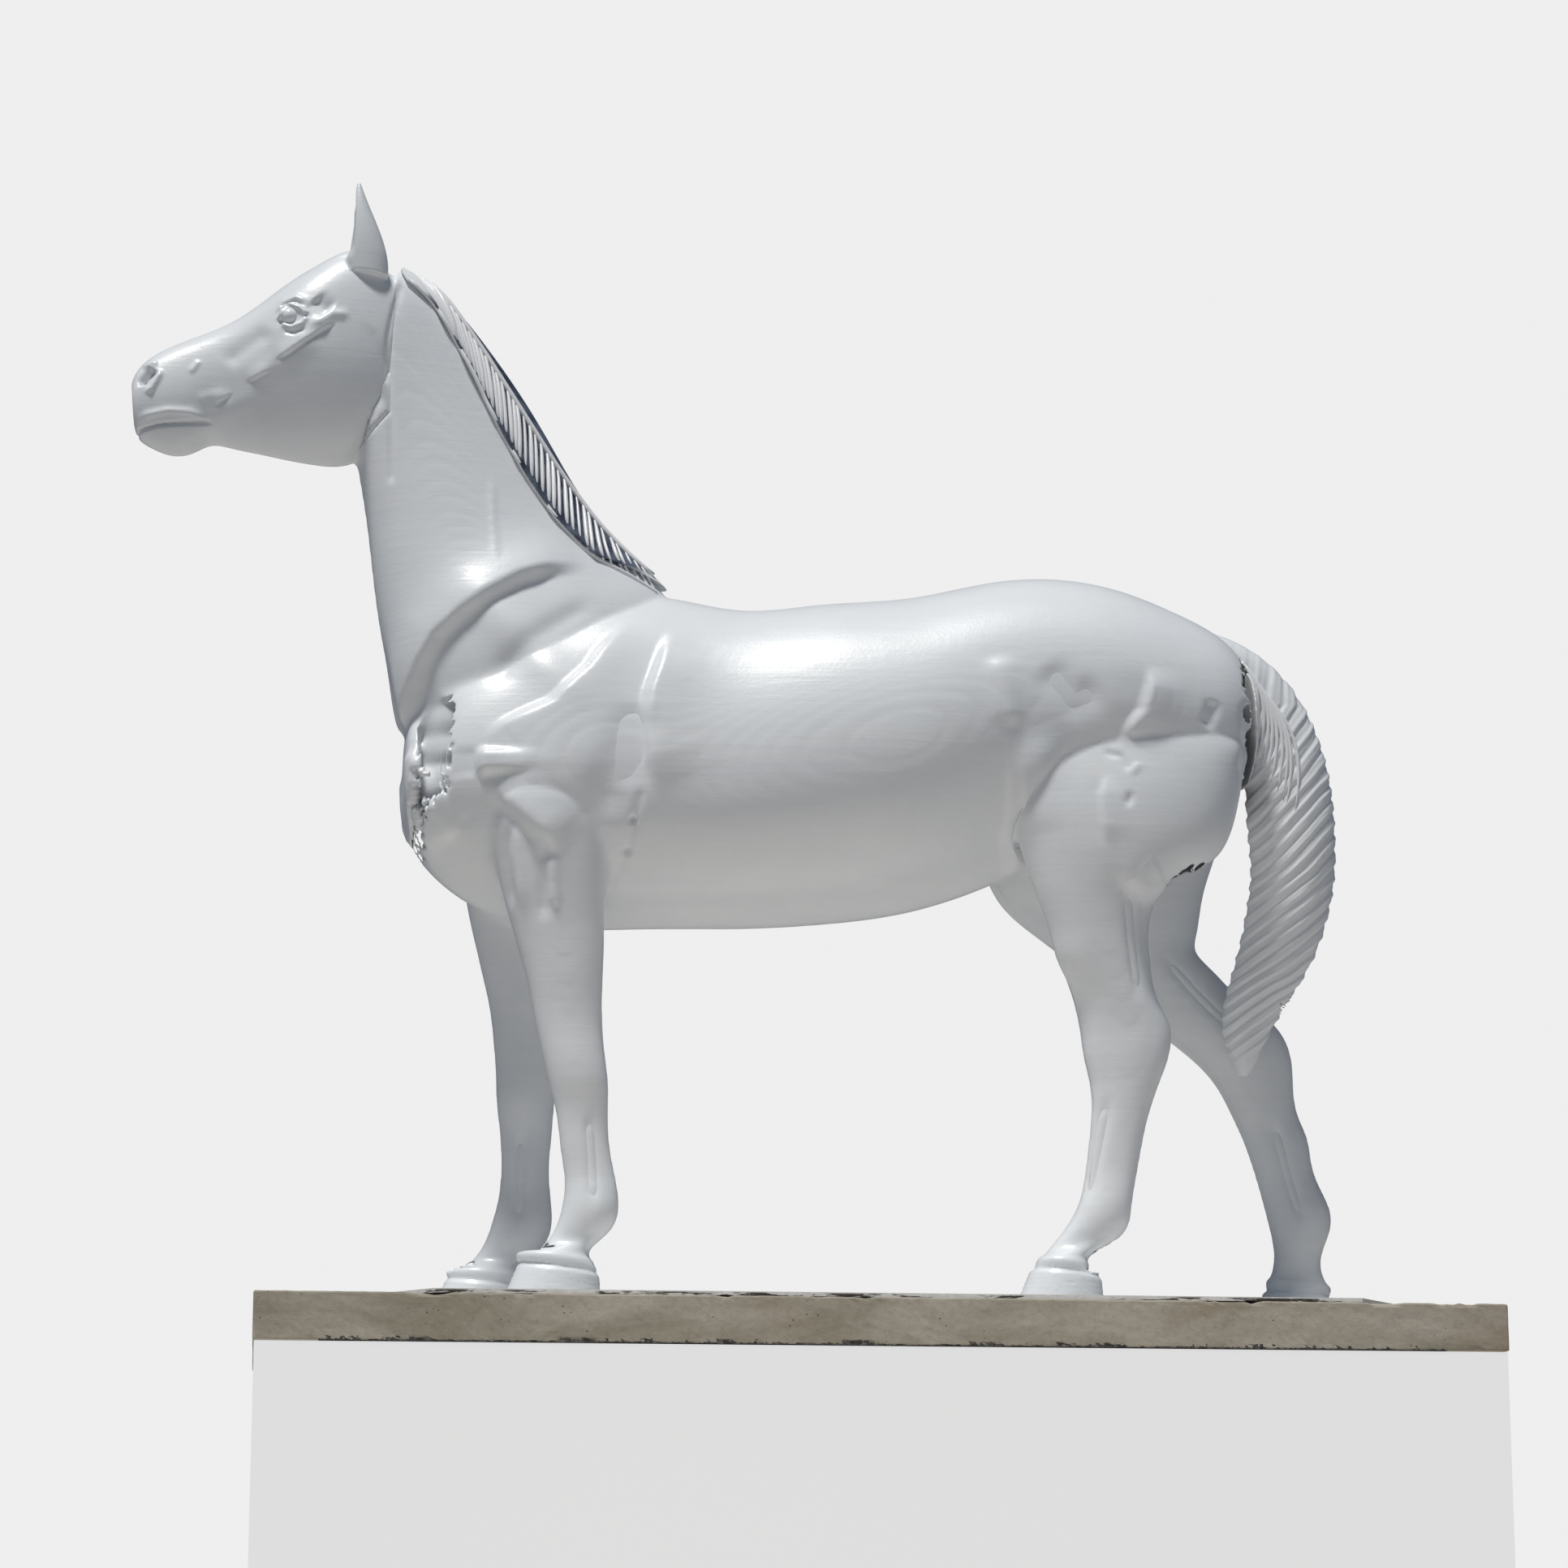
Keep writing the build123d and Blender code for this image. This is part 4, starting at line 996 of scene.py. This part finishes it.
def mortar_mesh():
    """The rough strip of bedding mortar that shows along the foot of the slab."""
    low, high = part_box("mortar_bed")
    bm = bmesh.new()
    reach = 0.0036
    size = (high[0] - low[0], high[1] - low[1] + 2 * reach, high[2] - low[2])
    place = Matrix.Translation(((high[0] + low[0]) / 2, (high[1] + low[1]) / 2, (high[2] + low[2]) / 2))
    bmesh.ops.create_cube(bm, size=1.0, matrix=place @ Matrix.Diagonal((*size, 1.0)))
    for k in range(1, 420):
        bmesh.ops.bisect_plane(
            bm, geom=bm.verts[:] + bm.edges[:] + bm.faces[:], dist=1e-6,
            plane_co=(low[0] + size[0] * k / 420, 0, 0), plane_no=(1, 0, 0),
        )
    for at in (0.3, 0.6):
        bmesh.ops.bisect_plane(
            bm, geom=bm.verts[:] + bm.edges[:] + bm.faces[:], dist=1e-6,
            plane_co=(0, 0, low[2] + size[2] * at), plane_no=(0, 0, 1),
        )
    for vert in bm.verts:
        rough = grown_noise(vert.co, 60.0, 5.0)
        vert.co.y -= math.copysign(min(abs(rough), 0.8) * 0.003, vert.co.y)
        if vert.co.z > low[2] + size[2] * 0.8:
            vert.co.z -= abs(grown_noise(vert.co, 35.0, 9.0)) * 0.003
    return mesh_from(bm, "mortar", smooth=False)


# ---- other finishes -----------------------------------------------------------------------
def hair_bed_painted_shade():
    """Dark blue-grey painted shade in the gaps between the locks."""
    material, shader, w, place = fresh_material("Hair bed painted shade", (0.05, 0.065, 0.10), 0.45)
    patch = w.noise(place, 24.0, 4.0, 0.6, 0.5)
    colour = w.mix(w.ramp(patch, 0.35, 0.7), (0.028, 0.036, 0.062), (0.115, 0.145, 0.20))
    parts = w.node("ShaderNodeSeparateXYZ")
    w.join(place, parts.inputs["Vector"])
    ends = w.math("ADD", w.ramp(parts.outputs["Z"], 2.150, 2.175), w.ramp(parts.outputs["Z"], 1.600, 1.575))
    w.join(w.mix(ends, colour, (0.83, 0.85, 0.87)), shader.inputs["Base Color"])
    w.join(w.ramp(patch, 0.3, 0.7, 0.38, 0.6), shader.inputs["Roughness"])
    add_bump(w, shader, patch, 0.001, 0.6)
    return material


def lock_paint():
    """Bright white paint on the raised locks, a little worn."""
    material, shader, w, place = fresh_material("Lock paint", (0.86, 0.87, 0.89), 0.36)
    grime_and_crease_shade = w.node("ShaderNodeGroup", node_tree=shared_group("Grime and crease shade", grime_and_crease_shade_group))
    grime_and_crease_shade.inputs["Amount"].default_value = 0.5
    w.join(place, grime_and_crease_shade.inputs["Vector"])
    colour = w.mix(w.math("MULTIPLY", grime_and_crease_shade.outputs["Film"], 0.25), (0.88, 0.885, 0.90), (0.62, 0.65, 0.70))
    w.join(colour, shader.inputs["Base Color"])
    w.join(w.ramp(grime_and_crease_shade.outputs["Film"], 0.0, 1.0, 0.30, 0.48), shader.inputs["Roughness"])
    add_bump(w, shader, w.noise(place, 160.0, 3.0, 0.6), 0.0006, 0.7)
    return material


def slab_concrete():
    """Cast concrete, mottled brown and olive, with pits and rust-tinted stains."""
    look = bpy.context.scene.horse_paint
    base = tuple(look.concrete)
    material, shader, w, place = fresh_material("Slab concrete", base, 0.86)
    cloud = w.noise(w.stretched(place, (3.0, 3.0, 9.0)), 1.0, 6.0, 0.62, 0.6)
    fine = w.noise(place, 85.0, 6.0, 0.7)
    grit = w.noise(place, 420.0, 3.0, 0.6)
    light = tuple(min(1.0, c * 1.28) for c in base)
    dark = (base[0] * 0.80, base[1] * 0.79, base[2] * 0.72)
    colour = w.mix(w.ramp(cloud, 0.32, 0.68), dark, light)
    colour = w.mix(w.math("MULTIPLY", w.ramp(fine, 0.45, 0.75), 0.30), colour, (0.20, 0.18, 0.13))
    stain = w.noise(w.stretched(place, (1.4, 1.4, 5.0)), 1.0, 3.0, 0.5, 1.2)
    colour = w.mix(w.math("MULTIPLY", w.ramp(stain, 0.52, 0.72), 0.35), colour, (0.33, 0.23, 0.13))
    pit = w.node("ShaderNodeTexVoronoi")
    pit.inputs["Scale"].default_value = 70.0
    w.join(place, pit.inputs["Vector"])
    hole = w.ramp(pit.outputs["Distance"], 0.05, 0.16, 1.0, 0.0)
    few = w.math("MULTIPLY", hole, w.ramp(w.noise(place, 14.0, 2.0), 0.52, 0.62))
    colour = w.mix(few, colour, (0.10, 0.09, 0.07))
    w.join(colour, shader.inputs["Base Color"])
    w.join(w.ramp(fine, 0.3, 0.7, 0.78, 0.95), shader.inputs["Roughness"])
    height = w.math("SUBTRACT", w.math("ADD", w.math("MULTIPLY", fine, 0.7), w.math("MULTIPLY", grit, 0.3)), few)
    add_bump(w, shader, height, 0.0016, 0.8)
    return material


def bedding_mortar():
    """Dark, damp, gritty mortar."""
    look = bpy.context.scene.horse_paint
    base = tuple(look.mortar)
    material, shader, w, place = fresh_material("Bedding mortar", base, 0.92)
    lump = w.noise(place, 60.0, 6.0, 0.7, 0.5)
    colour = w.mix(w.ramp(lump, 0.4, 0.72), base, tuple(c * 6 for c in base))
    w.join(colour, shader.inputs["Base Color"])
    w.join(w.ramp(lump, 0.3, 0.7, 0.85, 0.97), shader.inputs["Roughness"])
    add_bump(w, shader, w.noise(place, 240.0, 4.0, 0.7), 0.003, 1.0)
    return material


def base_paint_chips_and_gap_shadow():
    """White paint on the base plate, with scattered chips to dark steel, and dark patches along its lower edge as
    painted shadow of the gaps under the plate.
    """
    material, shader, w, place = fresh_material("Base plate paint", (0.80, 0.80, 0.79), 0.5)
    along = w.noise(w.stretched(place, (9.0, 9.0, 60.0)), 1.0, 5.0, 0.68, 0.3)
    fine = w.noise(place, 120.0, 4.0, 0.6)
    parts = w.node("ShaderNodeSeparateXYZ")
    w.join(place, parts.inputs["Vector"])
    edge = w.ramp(parts.outputs["Z"], PLATE_HIGH[2] - 0.004, PLATE_HIGH[2] - 0.001, 1.0, 0.0)
    # dark dashes along the lower edge: painted shadow of the gaps under the plate
    low = w.math("MULTIPLY", w.ramp(along, 0.50, 0.56), edge)
    chips_and_gap_shadow = w.math("MAXIMUM", low, w.ramp(along, 0.70, 0.74))
    colour = w.mix(w.ramp(fine, 0.3, 0.75), (0.83, 0.83, 0.82), (0.70, 0.69, 0.66))
    colour = w.mix(chips_and_gap_shadow, colour, (0.045, 0.038, 0.032))
    w.join(colour, shader.inputs["Base Color"])
    w.join(w.math("ADD", w.math("MULTIPLY", chips_and_gap_shadow, 0.35), 0.45), shader.inputs["Roughness"])
    add_bump(w, shader, w.math("SUBTRACT", w.math("MULTIPLY", fine, 0.4), chips_and_gap_shadow), 0.0012, 0.8)
    return material


def plain_grained(name, first, second, scale, rough, metallic=0.0, stretch=(1.0, 1.0, 1.0)):
    """Two tones of one stuff in a grain, for the parts inside the horse."""
    material, shader, w, place = fresh_material(name, first, rough)
    grain = w.noise(w.stretched(place, stretch), scale, 5.0, 0.6, 0.3)
    w.join(w.mix(w.ramp(grain, 0.35, 0.68), first, second), shader.inputs["Base Color"])
    w.join(w.ramp(grain, 0.3, 0.7, rough - 0.06, rough + 0.1), shader.inputs["Roughness"])
    shader.inputs["Metallic"].default_value = metallic
    add_bump(w, shader, grain, 0.0006, 0.6)
    return material


def finish_node(node, material):
    data = NODES[node]
    for slot in data.material_slots:
        slot.material = material
    if not data.material_slots:
        data.data.materials.append(material)


def pair(name):
    return f"left_{name}", f"right_{name}"


# ---- operators ----------------------------------------------------------------------------
class HORSE_OT_body(bpy.types.Operator):
    """Models the neck, trunk, legs and hooves and cuts them into mouldings"""

    bl_idname = "horse.body"
    bl_label = "Body, legs and hooves"

    def execute(self, context):
        form = context.scene.horse_form
        mesh = body_skin(form)
        clay = Clay(mesh, form.relief)
        clay.co = relaxed(clay.co, clay.edges, 6)
        clay.co = softened(clay.co, clay.edges, 22, blend_weights(clay.co))
        clay.refresh()
        model_forehand(clay)
        model_hindquarter(clay)
        model_legs(clay)
        both_sides(clay, "ridge", HEAD_JOINT, 0.007, -0.004, fade=0.05)
        model_hooves(clay)
        jaw = -0.965 - 0.9 * np.clip(1.90 - clay.co[:, 2], 0.0, 0.12)
        under_head = smooth_step(0.0, -0.012, clay.co[:, 0] - jaw) * smooth_step(1.80, 1.83, clay.co[:, 2])
        clay.push -= 0.008 * under_head
        clay.settle(0)
        clay.co[:, 2] = np.where(clay.co[:, 2] < PLATE_HIGH[2] + 0.0003, PLATE_HIGH[2] + 0.0003, clay.co[:, 2])
        clay.refresh()
        mesh = clay.mesh
        if len(mesh.vertices) < 20000:
            raise RuntimeError("the body skin came out incomplete")
        hollow_mask(mesh)
        store_normals(mesh)
        paint = painted_moulding()
        lean = math.radians(12.5)
        girth = Vector((-0.44, 0, 1.225))
        back = Vector((math.cos(lean), 0, math.sin(lean)))
        loin = Vector((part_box("left_hindquarter")[0][0], 0, 0))
        collar = Vector((-0.62, 0, 1.585))
        up_neck = Vector((-0.734, 0, 0.679))
        throat = Vector((-0.950, 0, 2.250))
        behind_head = Vector((0.978, 0, -0.211))
        fore_z = Vector((0, 0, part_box("left_foreleg")[1][2] - 0.002))
        hind_z = Vector((0, 0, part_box("left_hindleg")[1][2] - 0.002))
        x_axis, z_axis = Vector((1, 0, 0)), Vector((0, 0, 1))
        trunk = (
            ("neck", [(throat, behind_head), (collar, up_neck)], pair("neck")),
            ("forehand", [(girth, -back), (collar, -up_neck), (fore_z, z_axis)], (*pair("forehand"), "girth_tape")),
            ("barrel", [(girth, back), (loin, -x_axis)], pair("barrel")),
            ("hindquarters", [(loin, x_axis), (hind_z, z_axis)], (*pair("hindquarter"), "loin_tape")),
        )
        for name, planes, nodes in trunk:
            piece = keep_object(name, cut_from(mesh, name, planes), paint)
            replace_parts(piece, *nodes)
        for end, top, sign in (("fore", fore_z, -1), ("hind", hind_z, 1)):
            for side, label in ((LEFT, "left"), (RIGHT, "right")):
                leg, hoof = f"{label}_{end}leg", f"{label}_{end}_hoof"
                own = lambda co: co.z < 0.87 and co.x * sign > 0.15 and co.y * side > 0.0
                low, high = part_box(hoof)
                middle = Vector(((low[0] + high[0]) / 2, 0, high[2] - 0.008))
                rise = Vector((0.11, 0, 1)).normalized()
                upper = cut_from(mesh, leg, [(top, -z_axis), (middle, rise)], own)
                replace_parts(keep_object(leg, upper, paint), f"{label}_{end}leg")
                lower = cut_from(mesh, hoof, [(middle, -rise)], own)
                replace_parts(keep_object(hoof, lower, paint), hoof)
        return {"FINISHED"}


class HORSE_OT_head(bpy.types.Operator):
    """Models the head, its eyes, muzzle and ears"""

    bl_idname = "horse.head"
    bl_label = "Head and ears"

    def execute(self, context):
        form = context.scene.horse_form
        clay = Clay(head_skin(form), form.relief)
        clay.co = relaxed(clay.co, clay.edges, 6)
        clay.refresh()
        model_head(clay)
        model_eyes(clay)
        model_muzzle(clay)
        model_ears(clay)
        both_sides(clay, "ridge", HEAD_JOINT, 0.006, -0.004, fade=0.05)
        clay.settle(1)
        hollow_mask(clay.mesh)
        store_normals(clay.mesh)
        paint = painted_moulding()
        end = Vector((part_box("left_head")[1][0] - 0.008, 0, 0))
        head = keep_object("head", cut_from(clay.mesh, "head", [(end, Vector((-1, 0, 0)))]), paint)
        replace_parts(head, *pair("head"), *pair("ear"))
        for node in pair("eye"):
            finish_node(node, paint)
        return {"FINISHED"}


class HORSE_OT_mane(bpy.types.Operator):
    """Lays the carved locks over the crest of the neck"""

    bl_idname = "horse.mane"
    bl_label = "Mane"

    def execute(self, context):
        locks = mane_strands(context.scene.horse_form.mane_locks)
        if not locks:
            raise RuntimeError("no lock found the neck")
        keep_object("mane_locks", strands_mesh("mane_locks", locks), lock_paint())
        # the mane band under the locks is painted dark as the shade between them
        finish_node("mane", hair_bed_painted_shade())
        return {"FINISHED"}


class HORSE_OT_tail(bpy.types.Operator):
    """Models the tail and the fine locks at its root"""

    bl_idname = "horse.tail"
    bl_label = "Tail"

    def execute(self, context):
        form = context.scene.horse_form
        mesh = remeshed(clay_from(["tail"]), 0.0032)
        clay = Clay(mesh, form.relief)
        clay.co = relaxed(clay.co, clay.edges, 4)
        clay.refresh()
        model_tail(clay, form.tail_locks)
        hollow_mask(clay.mesh)
        clay.mesh.polygons.foreach_set("use_smooth", np.full(len(clay.mesh.polygons), True))
        # the tail's hollows take painted shade as well as grime from the crease mask
        tail = keep_object("tail_hair", clay.mesh, painted_moulding("Painted tail", grime_and_shade=1.0, streaks=0.4))
        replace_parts(tail, "tail")
        paint = bpy.data.materials.get("Lock paint") or lock_paint()
        keep_object("tail_root_locks", strands_mesh("tail_root_locks", tail_strands(15)), paint)
        return {"FINISHED"}


class HORSE_OT_base(bpy.types.Operator):
    """Makes the concrete slab, its mortar bed and the painted base plate"""

    bl_idname = "horse.base"
    bl_label = "Slab, mortar and plate"

    def execute(self, context):
        slab = keep_object("concrete_slab", slab_mesh(), slab_concrete())
        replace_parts(slab, "base_slab")
        mortar = keep_object("mortar_strip", mortar_mesh(), bedding_mortar())
        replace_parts(mortar, "mortar_bed")
        finish_node("base_plate", base_paint_chips_and_gap_shadow())
        return {"FINISHED"}


class HORSE_OT_inside(bpy.types.Operator):
    """Gives the armature, formers and tapes inside the horse their finishes"""

    bl_idname = "horse.inside"
    bl_label = "Armature and formers"

    def execute(self, context):
        steel = plain_grained("Galvanised steel", (0.42, 0.43, 0.44), (0.55, 0.56, 0.57), 60.0, 0.42, 0.9)
        plywood = plain_grained("Plywood", (0.50, 0.34, 0.19), (0.62, 0.45, 0.27), 8.0, 0.7, 0.0, (1.0, 1.0, 14.0))
        laminate = plain_grained("Raw laminate", (0.40, 0.42, 0.30), (0.52, 0.52, 0.38), 90.0, 0.5)
        for node in NODES:
            if node.startswith("former_"):
                finish_node(node, plywood)
            elif node.endswith("_tape"):
                finish_node(node, laminate)
            elif node.endswith(("_rod", "_crossbar", "_beam", "_post", "_stay", "_nuts", "_washers")):
                finish_node(node, steel)
            elif node in ("plate_anchors", "slab_reinforcement"):
                finish_node(node, steel)
        return {"FINISHED"}


def soft_light(name, place, target, size, power, colour):
    light = bpy.data.lights.new(name, "AREA")
    light.shape = "DISK"
    light.size = size
    light.energy = power
    light.color = colour
    lamp = bpy.data.objects.new(name, light)
    bpy.context.scene.collection.objects.link(lamp)
    lamp.location = place
    lamp.rotation_euler = (Vector(target) - Vector(place)).to_track_quat("-Z", "Y").to_euler()


class HORSE_OT_stage(bpy.types.Operator):
    """Sets the camera, the soft lights, the pale floor and the plinth"""

    bl_idname = "horse.stage"
    bl_label = "Studio"

    def execute(self, context):
        stage = context.scene.horse_stage
        (x0, _, _), (x1, _, z1) = CAD_BOX
        target = Vector(((x0 + x1) / 2 - 0.007, 0, z1 / 2 - 0.030))
        a, e = stage.azimuth, stage.elevation
        back = Vector((math.sin(a) * math.cos(e), -math.cos(a) * math.cos(e), math.sin(e)))
        camera = bpy.data.objects.new("camera", bpy.data.cameras.new("camera"))
        context.scene.collection.objects.link(camera)
        camera.data.lens = stage.lens
        camera.data.sensor_width = 36.0
        camera.location = target + back * stage.distance
        camera.rotation_euler = back.to_track_quat("Z", "Y").to_euler()
        context.scene.camera = camera

        floor_z = -1.20
        bm = bmesh.new()
        bmesh.ops.create_grid(bm, x_segments=2, y_segments=2, size=14.0, matrix=Matrix.Translation((0, 0, floor_z)))
        floor = keep_stage("floor", mesh_from(bm, "floor", smooth=False), (0.42, 0.41, 0.40), 0.0)
        bm = bmesh.new()
        low, high = SLAB_LOW, SLAB_HIGH
        place = Matrix.Translation((0, 0, floor_z / 2 - 0.0015))
        size = (high[0] - low[0] - 0.006, high[1] - low[1] - 0.006, -floor_z)
        bmesh.ops.create_cube(bm, size=1.0, matrix=place @ Matrix.Diagonal((*size, 1.0)))
        bmesh.ops.bevel(
            bm, geom=bm.edges[:], offset=0.001, offset_type="OFFSET", segments=1, profile=0.5,
            affect="EDGES", material=-1,
        )
        plinth = keep_stage("plinth", mesh_from(bm, "plinth", smooth=False), stage.floor, 0.80)

        sun = bpy.data.lights.new("sun", "SUN")
        sun.energy = stage.key_power
        sun.angle = math.radians(9.0)
        sun.color = (1.0, 0.985, 0.95)
        lamp = bpy.data.objects.new("sun", sun)
        context.scene.collection.objects.link(lamp)
        toward = Vector((-0.22, -0.26, 1.0))
        lamp.rotation_euler = toward.to_track_quat("Z", "Y").to_euler()
        soft_light("floor_bounce", (-0.2, -1.2, -0.9), (-0.1, 0.0, 0.9), 3.0, 9.0, (1.0, 0.86, 0.70))

        world = bpy.data.worlds.new("studio")
        context.scene.world = world
        context.scene.view_settings.view_transform = "Standard"
        world.use_nodes = True
        w = Wiring(world.node_tree)
        light = world.node_tree.nodes["Background"]
        light.inputs["Color"].default_value = (*stage.sky, 1.0)
        light.inputs["Strength"].default_value = 0.16
        seen = w.node("ShaderNodeBackground")
        seen.inputs["Color"].default_value = (0.86, 0.86, 0.86, 1.0)
        blend = w.node("ShaderNodeMixShader")
        w.join(w.node("ShaderNodeLightPath").outputs["Is Camera Ray"], blend.inputs["Fac"])
        w.join(light.outputs["Background"], blend.inputs[1])
        w.join(seen.outputs["Background"], blend.inputs[2])
        w.join(blend.outputs["Shader"], world.node_tree.nodes["World Output"].inputs["Surface"])
        return {"FINISHED"}


def keep_stage(name, mesh, colour, glow):
    thing = bpy.data.objects.new(name, mesh)
    bpy.context.scene.collection.objects.link(thing)
    material, shader, w, place = fresh_material(f"Studio {name}", tuple(colour), 0.9)
    tone = w.noise(place, 3.0, 2.0)
    paler = tuple(c * 0.97 for c in colour)
    w.join(w.mix(w.ramp(tone, 0.3, 0.7), tuple(colour), paler), shader.inputs["Base Color"])
    shader.inputs["Emission Color"].default_value = (0.86, 0.86, 0.86, 1.0)
    shader.inputs["Emission Strength"].default_value = glow
    thing.data.materials.append(material)
    return thing


class HORSE_PT_panel(bpy.types.Panel):
    bl_idname = "HORSE_PT_panel"
    bl_label = "Painted Horse Statue"
    bl_space_type = "VIEW_3D"
    bl_region_type = "UI"
    bl_category = "Horse Statue"

    def draw(self, context):
        scene = context.scene
        for group in (scene.horse_form, scene.horse_paint, scene.horse_stage):
            box = self.layout.box()
            for name in group.__annotations__:
                box.prop(group, name)
        for step in OPERATORS:
            self.layout.operator(step.bl_idname)


OPERATORS = (
    HORSE_OT_stage, HORSE_OT_body, HORSE_OT_head, HORSE_OT_mane, HORSE_OT_tail, HORSE_OT_base, HORSE_OT_inside,
)
CLASSES = (HorseForm, HorsePaint, HorseStage, *OPERATORS, HORSE_PT_panel)


def register():
    for cls in CLASSES:
        bpy.utils.register_class(cls)
    bpy.types.Scene.horse_form = PointerProperty(type=HorseForm)
    bpy.types.Scene.horse_paint = PointerProperty(type=HorsePaint)
    bpy.types.Scene.horse_stage = PointerProperty(type=HorseStage)


def unregister():
    del bpy.types.Scene.horse_stage
    del bpy.types.Scene.horse_paint
    del bpy.types.Scene.horse_form
    for cls in reversed(CLASSES):
        bpy.utils.unregister_class(cls)


def main():
    register()
    bpy.ops.horse.stage()
    bpy.ops.horse.body()
    bpy.ops.horse.head()
    bpy.ops.horse.mane()
    bpy.ops.horse.tail()
    bpy.ops.horse.base()
    bpy.ops.horse.inside()


if __name__ == "__main__":
    main()
